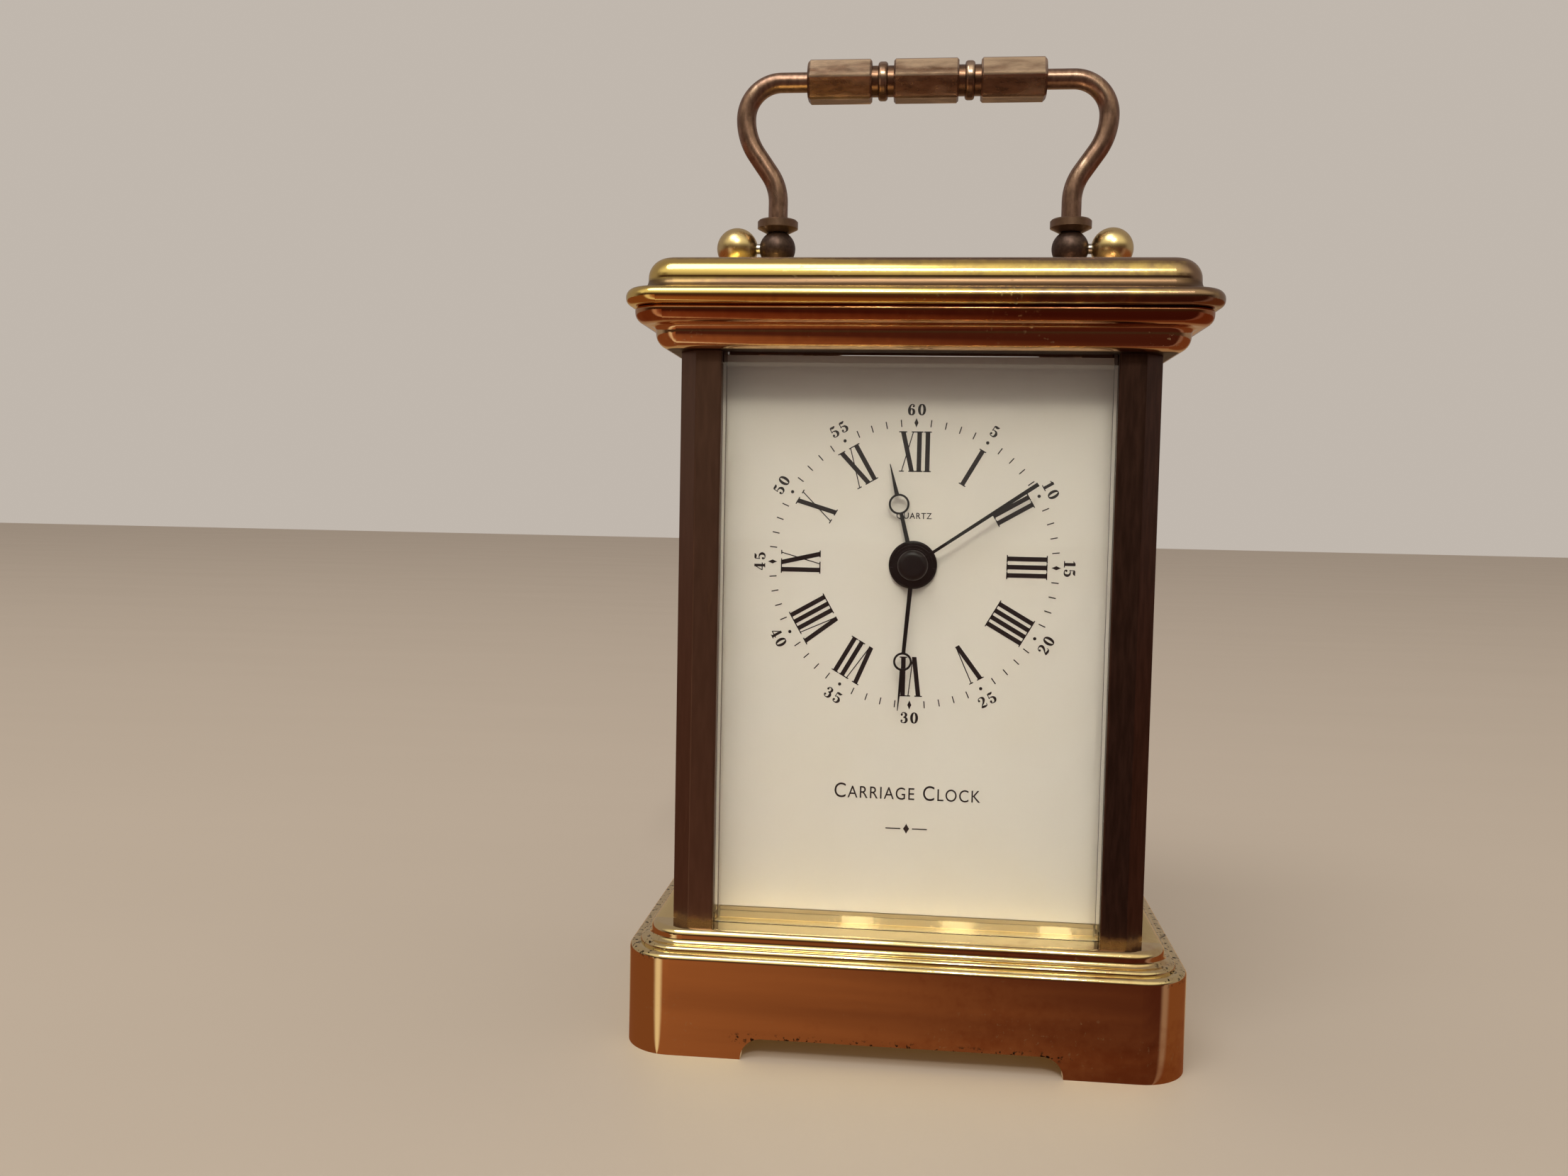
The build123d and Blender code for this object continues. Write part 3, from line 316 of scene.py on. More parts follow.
@dataclass(frozen=True)
class PolishedBrass(Finish):
    """Lacquered brass that has gone brown in clouds and specks.

    Attributes:
        fresh: The colour of bright brass.
        toned: The colour where the lacquer has darkened.
        start: How much cloud it takes before the tone shows, from 0 to 1.
        drift: How much browner it is at the right end than at the left.
        gloss: The roughness of bright brass.
        specks: How many corrosion specks there are, from 0 to 1.
        corrosion: The colour of a speck.
    """

    name: str = "polished_brass"
    fresh: Colour = (0.86, 0.60, 0.22)
    toned: Colour = (0.42, 0.21, 0.09)
    start: float = 0.5
    drift: float = 0.0
    gloss: float = 0.10
    specks: float = 0.5
    corrosion: Colour = (0.035, 0.02, 0.013)

    def deposit(self, graph: Graph) -> Signal:
        """How much tone has gathered in a place that no cloth reaches."""
        return graph.grain(30, 1, shift=6.0) * 0.04

    def shade(self, graph: Graph) -> dict[str, Feed]:
        """The inputs of the surface's Principled shader."""
        cloud = graph.grain(13, 3, (2.2, 1, 0.7)) * 0.65 + graph.grain(1.7, 4) * 0.35
        cloud = cloud + graph.along("X") * (self.drift / CASE_WIDTH) + self.deposit(graph)
        toning = cloud.rise(self.start - 0.12, self.start + 0.16)
        crowd = graph.grain(10, 2, shift=3.1).rise(0.50, 0.68)
        speck = graph.grain(0.62, 2, shift=7.7).rise(0.62, 0.70) * crowd * self.specks
        colour = graph.mix(toning, self.fresh, self.toned)
        smear = graph.grain(4, 4, (3, 1, 1), shift=1.3)
        height = graph.grain(2.8, 2, shift=5.0) * 0.7
        return {
            "Base Color": graph.mix(speck, colour, self.corrosion),
            "Metallic": 1.0 - speck * 0.6,
            "Roughness": smear * 0.07 + toning * 0.05 + speck * 0.5 + (self.gloss - 0.03),
            "Normal": graph.bump(height, 0.012),
        }


@dataclass(frozen=True)
class CapBrass(PolishedBrass):
    """The cap's brass, brown in its cove and on its flat top.

    Attributes:
        cove: The height of the middle of the cove.
        roof: The height at which the flat top begins.
        stain: The colour of the dirt in the cove.
    """

    cove: float = 109.3
    roof: float = 112.9
    stain: Colour = (0.13, 0.075, 0.040)

    def deposit(self, graph: Graph) -> Signal:
        """How much tone has gathered in the cove and on the top."""
        height = graph.along("Z")
        cove = (height - self.cove).size().rise(1.2, 0.5) * 0.30
        return cove + height.rise(self.roof - 0.5, self.roof) * 0.26

    def shade(self, graph: Graph) -> dict[str, Feed]:
        """The inputs of the surface's Principled shader."""
        made = super().shade(graph)
        ragged = graph.grain(2.0, 3, (3, 1, 1), shift=4.0) * 0.5
        cove = (graph.along("Z") + ragged - self.cove - 0.25).size().rise(1.1, 0.4)
        made["Base Color"] = graph.mix(cove * 0.75, made["Base Color"], self.stain)
        made["Roughness"] = made["Roughness"] + cove * 0.16
        return made


@dataclass(frozen=True)
class CorniceBrass(PolishedBrass):
    """The cornice's brass, with painted reflection on its mouldings and left dull underneath.

    Attributes:
        underside: The height below which it is inside the case.
        step: The height of the step between its two mouldings.
        deep: The painted reflection's dark red on the upper moulding, above the step.
        pale: The painted reflection's paler tone on the lower moulding.
        raw: The colour of the unpolished underside.
    """

    underside: float = 100.55
    step: float = 103.8
    deep: Colour = (0.45, 0.15, 0.05)
    pale: Colour = (0.95, 0.72, 0.42)
    raw: Colour = (0.10, 0.06, 0.035)

    def shade(self, graph: Graph) -> dict[str, Feed]:
        """The inputs of the surface's Principled shader."""
        made = super().shade(graph)
        under = graph.along("Z").rise(self.underside + 0.1, self.underside)
        # Painted reflection: the upper moulding is darkened to red and the lower one lightened,
        # standing for the table they mirror.
        upper = graph.along("Z").rise(self.step - 0.4, self.step + 0.4)
        colour = graph.mix((1.0 - upper) * 0.4, made["Base Color"], self.pale)
        colour = graph.mix(upper * 0.45, colour, self.deep)
        made["Base Color"] = graph.mix(under, colour, self.raw)
        made["Roughness"] = made["Roughness"] + under * 0.4
        return made


@dataclass(frozen=True)
class BaseBrass(PolishedBrass):
    """The base's brass, pitted by its arches and at its corners, dull inside the case.

    Attributes:
        arch: The height of the arches.
        arch_reach: How far out the arches run, along X.
        ledge: The height of the ledge whose corners are pitted.
        reach: How far out the pitted corners lie, along X.
        top: The height of the base's top.
        pane: Where the front pane stands, along Y.
        sill: Where the unpolished sill under the dial lies, along Y.
        pit: The colour of a pit.
        dull: The colour of the sill.
    """

    arch: float = 3.1
    arch_reach: float = 23.0
    ledge: float = 14.9
    reach: float = 36.0
    top: float = 17.4
    pane: float = -25.3
    sill: float = -20.65
    pit: Colour = (0.03, 0.017, 0.01)
    dull: Colour = (0.46, 0.36, 0.21)

    def deposit(self, graph: Graph) -> Signal:
        """How much tone has gathered towards the foot and the right."""
        return graph.along("Z").rise(9, 0) * 0.06

    def shade(self, graph: Graph) -> dict[str, Feed]:
        """The inputs of the surface's Principled shader."""
        made = super().shade(graph)
        height, across = graph.along("Z"), graph.along("X").size()
        edge = (height - self.arch).size().rise(1.0, 0.1)
        edge = edge * across.rise(self.arch_reach + 1.5, self.arch_reach)
        corner = across.rise(self.reach - 1.5, self.reach)
        corner = corner * (height - self.ledge).size().rise(1.8, 0.4)
        pits = graph.grain(0.55, 3, shift=11.0).rise(0.56, 0.64) * (edge + corner).at_most(1.0)
        inside = (graph.along("Y") - self.sill).size().rise(1.0, 0.8)
        inside = inside * height.rise(self.top + 0.02, self.top + 0.1)
        made["Base Color"] = graph.mix(pits, made["Base Color"], self.pit)
        made["Base Color"] = graph.mix(inside, made["Base Color"], self.dull)
        made["Metallic"] = made["Metallic"] - inside * 0.6
        floor = graph.along("Y").rise(self.pane - 0.3, self.pane + 0.3)
        floor = floor * height.rise(self.top - 0.2, self.top - 0.02)
        made["Roughness"] = made["Roughness"] + pits * 0.4 + inside * 0.2 + floor * 0.45
        return made


@dataclass(frozen=True)
class Patina(Finish):
    """Bronze under a brown skin, rubbed bright where hands and cloths reach.

    Attributes:
        skin: The colour of the brown skin.
        bare: The colour of the rubbed metal.
        rub: How much is rubbed through, from 0 to 1.
        grain_size: The size of the patches, in millimetres.
        stretch: How much longer the patches are along X, Y and Z.
        gloss: The roughness of the rubbed metal.
        dull: How much rougher the skin is.
    """

    name: str
    skin: Colour
    bare: Colour
    rub: float = 0.3
    grain_size: float = 3.0
    stretch: tuple[float, float, float] = (1, 1, 1)
    gloss: float = 0.22
    dull: float = 0.16

    def wear(self, graph: Graph) -> Signal:
        """How far the skin is rubbed through, from 0 to 1."""
        patches = graph.grain(self.grain_size, 4, self.stretch)
        return patches.rise(0.72 - 0.4 * self.rub, 0.86 - 0.3 * self.rub)

    def shade(self, graph: Graph) -> dict[str, Feed]:
        """The inputs of the surface's Principled shader."""
        wear = self.wear(graph)
        mottle = graph.grain(self.grain_size * 0.3, 5, self.stretch, shift=4.0)
        skin = graph.mix(mottle.rise(0.3, 0.75), self.skin, shaded(self.skin, 1.6))
        scratches = graph.grain(0.35, 3, self.stretch, shift=9.0)
        return {
            "Base Color": graph.mix(wear, skin, self.bare),
            "Metallic": wear * 0.15 + 0.85,
            "Roughness": (1.0 - wear) * self.dull + mottle * 0.08 + self.gloss,
            "Normal": graph.bump(scratches * 0.5 + mottle * 0.5, 0.01),
        }


@dataclass(frozen=True)
class PostPatina(Patina):
    """The posts' patina, worn to brass at the foot; a painted highlight lightens the left posts.

    Attributes:
        foot: The height of the posts' feet.
        left: Where the left posts begin, along X.
        pale: The painted highlight colour that the left posts' skin tends to.
    """

    foot: float = 17.4
    left: float = -20.0
    pale: Colour = (0.30, 0.18, 0.12)

    def wear(self, graph: Graph) -> Signal:
        """How far the skin is rubbed through, from 0 to 1."""
        patches = super().wear(graph)
        ragged = graph.grain(1.1, 3, shift=2.0) * 1.6
        low = (graph.along("Z") - ragged).rise(self.foot + 0.5, self.foot - 0.6)
        return patches.at_least(low * 0.8)

    def shade(self, graph: Graph) -> dict[str, Feed]:
        """The inputs of the surface's Principled shader."""
        made = super().shade(graph)
        # Painted highlight: the left posts' skin is lightened towards pale, standing for brighter
        # light on the left.
        left = graph.along("X").rise(self.left, self.left - 6)
        made["Base Color"] = graph.mix(left * 0.36, made["Base Color"], self.pale)
        return made


@dataclass(frozen=True)
class EyePatina(Patina):
    """The swinging eyes' patina: a dark ball under a rubbed collar.

    Attributes:
        collar: The height at which the collar begins.
    """

    collar: float = 122.4

    def wear(self, graph: Graph) -> Signal:
        """How far the skin is rubbed through, from 0 to 1."""
        ragged = graph.grain(1.0, 3, shift=2.0) * 0.8
        above = (graph.along("Z") + ragged).rise(self.collar, self.collar + 0.9)
        return super().wear(graph).at_least(above * (graph.grain(1.4, 3) * 0.7 + 0.25))


@dataclass(frozen=True)
class GripPatina(Patina):
    """The grip's patina, rubbed bright at its corners; its upper flats have a painted highlight.

    Attributes:
        axis_z: The height of the grip's axis.
    """

    axis_z: float = 146.3

    def wear(self, graph: Graph) -> Signal:
        """How far the skin is rubbed through, plus painted highlight towards the top, from 0 to 1.
        """
        patches = graph.grain(self.grain_size, 4, self.stretch)
        up = graph.along("Z") - self.axis_z
        y = graph.along("Y")
        reach = (y * y + up * up) ** 0.5
        corner = reach.rise(3.12, 3.5) * 0.35
        sunk = reach.rise(2.95, 2.6) * 0.5
        # Painted highlight: up * 0.09 makes the upper flats lighter and the lower ones darker.
        return ((patches - 0.5) * 1.8 + up * 0.09 + corner - sunk + 0.42).rise(0.2, 1.0)


@dataclass(frozen=True)
class SatinMetal(Finish):
    """Turned, brushed or plated metal.

    Attributes:
        colour: The metal's colour.
        shade_colour: The colour of its duller patches.
        gloss: Its roughness.
        brush: How much longer the brush marks are along X, Y and Z.
    """

    name: str
    colour: Colour
    shade_colour: Colour
    gloss: float = 0.28
    brush: tuple[float, float, float] = (1, 1, 1)

    def shade(self, graph: Graph) -> dict[str, Feed]:
        """The inputs of the surface's Principled shader."""
        patches = graph.grain(5, 4)
        lines = graph.grain(0.25, 3, self.brush, shift=6.0)
        return {
            "Base Color": graph.mix(patches.rise(0.35, 0.7), self.colour, self.shade_colour),
            "Metallic": 1.0,
            "Roughness": lines * 0.12 + patches * 0.1 + (self.gloss - 0.1),
            "Normal": graph.bump(lines, 0.006),
        }


@dataclass(frozen=True)
class Enamel(Finish):
    """The dial's matte warm white, yellowed a little low down, with painted reflection at its
    rims.

    Attributes:
        white: The enamel's colour.
        aged: Its yellowed colour, also the painted reflection of the brass posts at the rims.
        fleck: The colour of the specks in it.
    """

    name: str = "dial_enamel"
    white: Colour = (0.83, 0.79, 0.735)
    aged: Colour = (0.79, 0.72, 0.60)
    fleck: Colour = (0.45, 0.35, 0.24)

    def shade(self, graph: Graph) -> dict[str, Feed]:
        """The inputs of the surface's Principled shader."""
        cloud = graph.grain(22, 3)
        low = graph.along("Z").rise(40, 16)
        # Painted reflection: the left and right rims are yellowed towards the brass posts' colour.
        rim_reflection = graph.along("X").size().rise(25.5, 30.5)
        age_and_reflection = (cloud.rise(0.35, 0.75) * 0.3 + low * 0.45 + rim_reflection * 0.4).at_most(1.0)
        fleck = graph.grain(0.5, 2, shift=8.0).rise(0.72, 0.78)
        tooth = graph.grain(0.12, 2, shift=2.0)
        colour = graph.mix(age_and_reflection, self.white, self.aged)
        return {
            "Base Color": graph.mix(fleck * 0.22, colour, self.fleck),
            "Roughness": tooth * 0.12 + 0.52,
            "Normal": graph.bump(tooth, 0.003),
        }


@dataclass(frozen=True)
class Paint(Finish):
    """Black paint, ink or lacquer with a little dust on it.

    Attributes:
        colour: The paint's colour.
        dust: The colour of the dust.
        gloss: The paint's roughness.
    """

    name: str = "hand_black"
    colour: Colour = (0.005, 0.004, 0.0045)
    dust: Colour = (0.05, 0.04, 0.04)
    gloss: float = 0.34

    def shade(self, graph: Graph) -> dict[str, Feed]:
        """The inputs of the surface's Principled shader."""
        speck = graph.grain(0.3, 3).rise(0.66, 0.8)
        film = graph.grain(3, 3, shift=1.0)
        return {
            "Base Color": graph.mix(speck * 0.5, self.colour, self.dust),
            "Roughness": film * 0.16 + speck * 0.2 + (self.gloss - 0.08),
            "Specular IOR Level": 0.3,
            "Normal": graph.bump(graph.grain(0.5, 2, shift=5.0), 0.004),
        }


@dataclass(frozen=True)
class Moulding(Finish):
    """A plastic, rubber or resin part with its mould's fine grain.

    Attributes:
        colour: The plastic's colour.
        pale: The colour of its paler, handled patches.
        gloss: Its roughness.
        tooth: The size of the grain, in millimetres.
        depth: The depth of the grain, in millimetres.
    """

    name: str
    colour: Colour
    pale: Colour
    gloss: float = 0.45
    tooth: float = 0.35
    depth: float = 0.02

    def shade(self, graph: Graph) -> dict[str, Feed]:
        """The inputs of the surface's Principled shader."""
        cloud = graph.grain(8, 4).rise(0.35, 0.75)
        grit = graph.grain(self.tooth, 2, shift=3.0)
        return {
            "Base Color": graph.mix(cloud, self.colour, self.pale),
            "Roughness": grit * 0.14 + cloud * 0.08 + (self.gloss - 0.1),
            "Normal": graph.bump(grit, self.depth),
        }


@dataclass(frozen=True)
class ClearGlass(Finish):
    """Clear polished glass that lets the lamps through.

    Attributes:
        tint: The glass's colour.
        passed: What the lamps' light keeps of itself on its way through.
    """

    name: str = "clear_glass"
    tint: Colour = (0.965, 0.975, 0.955)
    passed: Colour = (0.94, 0.95, 0.93)

    def shade(self, graph: Graph) -> dict[str, Feed]:
        """The inputs of the surface's Principled shader."""
        film = graph.grain(9, 4).rise(0.45, 0.8)
        return {
            "Base Color": graph.mix(film, self.tint, shaded(self.tint, 0.985)),
            "Roughness": 0.0,
            "Transmission Weight": 1.0,
            "IOR": 1.5,
        }

    def output(self, graph: Graph) -> Signal:
        """The glass for what is seen, and a clear film for light from the lamps."""
        clear = graph.node("ShaderNodeBsdfTransparent", inputs={"Color": self.passed})
        path = graph.node("ShaderNodeLightPath")
        made = graph.node(
            "ShaderNodeMixShader",
            inputs={
                0: Signal(graph, path.outputs["Is Shadow Ray"]),
                1: super().output(graph),
                2: Signal(graph, clear.outputs[0]),
            },
        )
        return Signal(graph, made.outputs[0])


@dataclass(frozen=True)
class Winding(Finish):
    """Enamelled copper wire, laid turn by turn along X.

    Attributes:
        colour: The wire's colour.
        gap: The painted shade in the groove between two turns.
        pitch: The distance from turn to turn.
    """

    name: str = "copper_wire"
    colour: Colour = (0.72, 0.30, 0.12)
    gap: Colour = (0.20, 0.06, 0.025)
    pitch: float = 0.12

    def shade(self, graph: Graph) -> dict[str, Feed]:
        """The inputs of the surface's Principled shader."""
        turns = graph.math("SINE", graph.along("X") * (2 * math.pi / self.pitch))
        sheen = graph.grain(1.4, 3)
        # Painted shade: the grooves between turns are darkened towards gap.
        gap = turns.rise(0.1, -0.9)
        return {
            "Base Color": graph.mix(gap * 0.7, self.colour, self.gap),
            "Metallic": 0.9,
            "Roughness": sheen * 0.2 + 0.2,
            "Normal": graph.bump(turns * 0.5 + 0.5, 0.03),
        }


@dataclass(frozen=True)
class Laminate(Finish):
    """Green circuit board with copper tracks under the lacquer.

    Attributes:
        green: The lacquer's colour.
        pale_green: Its colour over the weave's high threads.
        track: Its colour over a track.
    """

    name: str = "board_laminate"
    green: Colour = (0.02, 0.16, 0.055)
    pale_green: Colour = (0.03, 0.2, 0.07)
    track: Colour = (0.12, 0.34, 0.09)

    def shade(self, graph: Graph) -> dict[str, Feed]:
        """The inputs of the surface's Principled shader."""
        across = graph.math("PINGPONG", graph.along("X") + 40.0, 1.3)
        upward = graph.math("PINGPONG", graph.along("Z"), 2.1)
        lanes = graph.grain(4.5, 0).rise(0.49, 0.51)
        track = across.rise(0.42, 0.36) * lanes
        track = track.at_least(upward.rise(0.46, 0.40) * (1.0 - lanes))
        weave = graph.grain(0.4, 2, (3, 1, 1))
        lacquer = graph.mix(weave, self.green, self.pale_green)
        return {
            "Base Color": graph.mix(track, lacquer, self.track),
            "Roughness": weave * 0.12 + 0.24,
            "Normal": graph.bump(track, 0.04),
        }


@dataclass(frozen=True)
class BatterySleeve(Finish):
    """A cell's printed sleeve: plain bands round it and bare steel at the ends.

    Attributes:
        left: Where the sleeve begins, along X.
        right: Where it ends.
        band: Where the coloured third begins.
        axis: Where the cell's axis lies, along Y and Z.
        radius: The radius of the bare ends.
        dark: The colour of the longer part.
        copper: The colour of the shorter part.
        ring: The colour of the line between them.
        scuff: The colour of the rubbed places.
        steel: The colour of the bare ends.
    """

    name: str = "battery_wrap"
    left: float = -24.2
    right: float = 23.2
    band: float = 9.5
    axis: tuple[float, float] = (-10.85, 50.95)
    radius: float = 6.6
    dark: Colour = (0.035, 0.045, 0.06)
    copper: Colour = (0.55, 0.25, 0.09)
    ring: Colour = (0.72, 0.66, 0.52)
    scuff: Colour = (0.6, 0.58, 0.55)
    steel: Colour = (0.62, 0.61, 0.58)

    def shade(self, graph: Graph) -> dict[str, Feed]:
        """The inputs of the surface's Principled shader."""
        x = graph.along("X")
        rub = graph.grain(1.2, 4, (4, 1, 1))
        body = graph.mix(x.rise(self.band - 0.03, self.band + 0.03), self.dark, self.copper)
        rings = (x - self.band + 1.6).size().rise(0.35, 0.3)
        body = graph.mix(rings, body, self.ring)
        body = graph.mix(rub.rise(0.68, 0.8) * 0.4, body, self.scuff)
        y, z = graph.along("Y") - self.axis[0], graph.along("Z") - self.axis[1]
        radius = (y * y + z * z) ** 0.5
        steel = x.rise(self.left + 0.05, self.left - 0.05)
        steel = steel.at_least(x.rise(self.right - 0.05, self.right + 0.05))
        steel = steel.at_least(radius.rise(self.radius + 0.3, self.radius))
        return {
            "Base Color": graph.mix(steel, body, self.steel),
            "Metallic": steel * 0.7 + 0.3,
            "Roughness": rub * 0.14 + 0.2,
            "Normal": graph.bump(rub, 0.004),
        }


BRASS_BASE = BaseBrass(
    "base_brass", (0.88, 0.72, 0.38), (0.66, 0.42, 0.20),
    start=0.64, drift=0.12, gloss=0.05, specks=0.12,
)
BRASS_CAP = CapBrass(
    "cap_brass", (0.86, 0.64, 0.22), (0.36, 0.24, 0.15),
    start=0.60, drift=0.42, gloss=0.12, specks=0.3,
)
# The cornice's dark toned colour is partly painted reflection of the dark table below, partly
# clouded tarnish.
BRASS_CORNICE = CorniceBrass(
    "cornice_brass", (0.80, 0.57, 0.28), (0.49, 0.25, 0.13),
    start=0.48, drift=0.2, gloss=0.07, specks=0.4,
)
BRASS_BALL = PolishedBrass(
    "ball_brass", (0.84, 0.66, 0.32), (0.55, 0.40, 0.18),
    start=0.58, drift=0.0, gloss=0.27, specks=0.9,
)
BRONZE_POST = PostPatina(
    "post_bronze", (0.060, 0.030, 0.021), (0.42, 0.26, 0.13),
    rub=0.12, grain_size=2.4, stretch=(1, 1, 7), gloss=0.20, dull=0.10,
)
BRONZE_DARK = EyePatina(
    "dark_bronze", (0.070, 0.045, 0.036), (0.36, 0.23, 0.15), rub=0.1, grain_size=1.8, gloss=0.24
)
BRONZE_ROD = Patina(
    "rod_bronze", (0.22, 0.135, 0.096), (0.60, 0.43, 0.32),
    rub=0.35, grain_size=2.2, stretch=(1, 1, 2.2), gloss=0.15, dull=0.10,
)
BRONZE_GRIP = GripPatina(
    "grip_bronze", (0.14, 0.078, 0.048), (0.74, 0.56, 0.42),
    rub=0.5, grain_size=2.4, stretch=(3, 1, 1), gloss=0.12, dull=0.12,
)
DOOR_BRASS = SatinMetal("door_brass", (0.74, 0.52, 0.22), (0.52, 0.34, 0.14), 0.26, (1, 1, 12))
STEEL = SatinMetal("screw_steel", (0.60, 0.59, 0.57), (0.38, 0.36, 0.34), 0.30)
NICKEL = SatinMetal("contact_metal", (0.66, 0.63, 0.57), (0.46, 0.43, 0.38), 0.22, (1, 8, 1))
IRON = SatinMetal("stator_steel", (0.50, 0.50, 0.52), (0.32, 0.31, 0.31), 0.36, (8, 1, 1))
ENAMEL = Enamel()
BLACK = Paint()
INK = Paint("dial_ink", (0.012, 0.007, 0.008), (0.04, 0.03, 0.03), 0.5)
GLASS = ClearGlass()
CASE_PLASTIC = Moulding("movement_black", (0.014, 0.014, 0.016), (0.032, 0.032, 0.034), 0.42)
WHEEL_PLASTIC = Moulding("wheel_plastic", (0.80, 0.77, 0.68), (0.72, 0.67, 0.55), 0.38, 0.2, 0.006)
BOBBIN_PLASTIC = Moulding(
    "bobbin_plastic", (0.03, 0.09, 0.28), (0.05, 0.13, 0.35), 0.36, 0.3, 0.01
)
RUBBER = Moulding("rubber", (0.018, 0.018, 0.018), (0.045, 0.042, 0.04), 0.75, 0.25, 0.03)
FERRITE = Moulding("magnet", (0.045, 0.045, 0.05), (0.10, 0.10, 0.105), 0.55, 0.15, 0.02)
RESIN = Moulding("chip_resin", (0.008, 0.008, 0.009), (0.02, 0.02, 0.02), 0.2, 1.2, 0.05)


# ---------------------------------------------------------------- modelling
class Bench:
    """The modelling operators, used as at a bench."""

    @staticmethod
    def take(*things: Thing) -> None:
        """Selects only these, the last of them active.

        Args:
            things: What to select.
        """
        bpy.ops.object.select_all(action="DESELECT")
        for thing in things:
            thing.select_set(True)
        bpy.context.view_layer.objects.active = things[-1] if things else None

    @staticmethod
    def settle(thing: Thing) -> Thing:
        """Puts a piece's place into its mesh, so that its object sits at the origin."""
        Bench.take(thing)
        bpy.ops.object.transform_apply(location=True, rotation=True, scale=True)
        return thing

    @staticmethod
    def copy(pattern: Thing, place: Matrix) -> Thing:
        """A copy with its own mesh.

        Args:
            pattern: The piece to copy, which sits at the origin.
            place: Where the copy goes.

        Returns:
            The copy.
        """
        made = pattern.copy()
        made.data = pattern.data.copy()
        bpy.context.scene.collection.objects.link(made)
        made.matrix_world = place
        return made

    @staticmethod
    def join(name: str, things: Sequence[Thing]) -> Thing:
        """Makes one piece of several.

        Args:
            name: The new piece's name.
            things: The pieces to join.

        Returns:
            The joined piece, at the origin.
        """
        bpy.context.view_layer.update()
        Bench.take(*things)
        if len(things) > 1:
            bpy.ops.object.join()
        made = bpy.context.view_layer.objects.active
        made.name = name
        return Bench.settle(made)

    @staticmethod
    def drop(things: Sequence[Thing]) -> None:
        """Throws away patterns that have served."""
        for thing in things:
            bpy.data.objects.remove(thing)

    @staticmethod
    def thicken(thing: Thing, thickness: float) -> Thing:
        """Gives a flat piece a thickness in front of its face.

        Args:
            thing: The flat piece.
            thickness: The thickness, in millimetres.

        Returns:
            The same piece.
        """
        Bench.take(thing)
        bpy.ops.object.modifier_add(type="SOLIDIFY")
        solidify = thing.modifiers[-1]
        solidify.thickness = thickness * MM
        solidify.offset = 1.0
        bpy.ops.object.modifier_apply(modifier=solidify.name)
        return thing

    @staticmethod
    def dress(thing: Thing, finish: Finish) -> Thing:
        """Gives a piece its finish in every slot."""
        material = finish.make()
        if not thing.material_slots:
            thing.data.materials.append(material)
        for slot in thing.material_slots:
            slot.material = material
        return thing


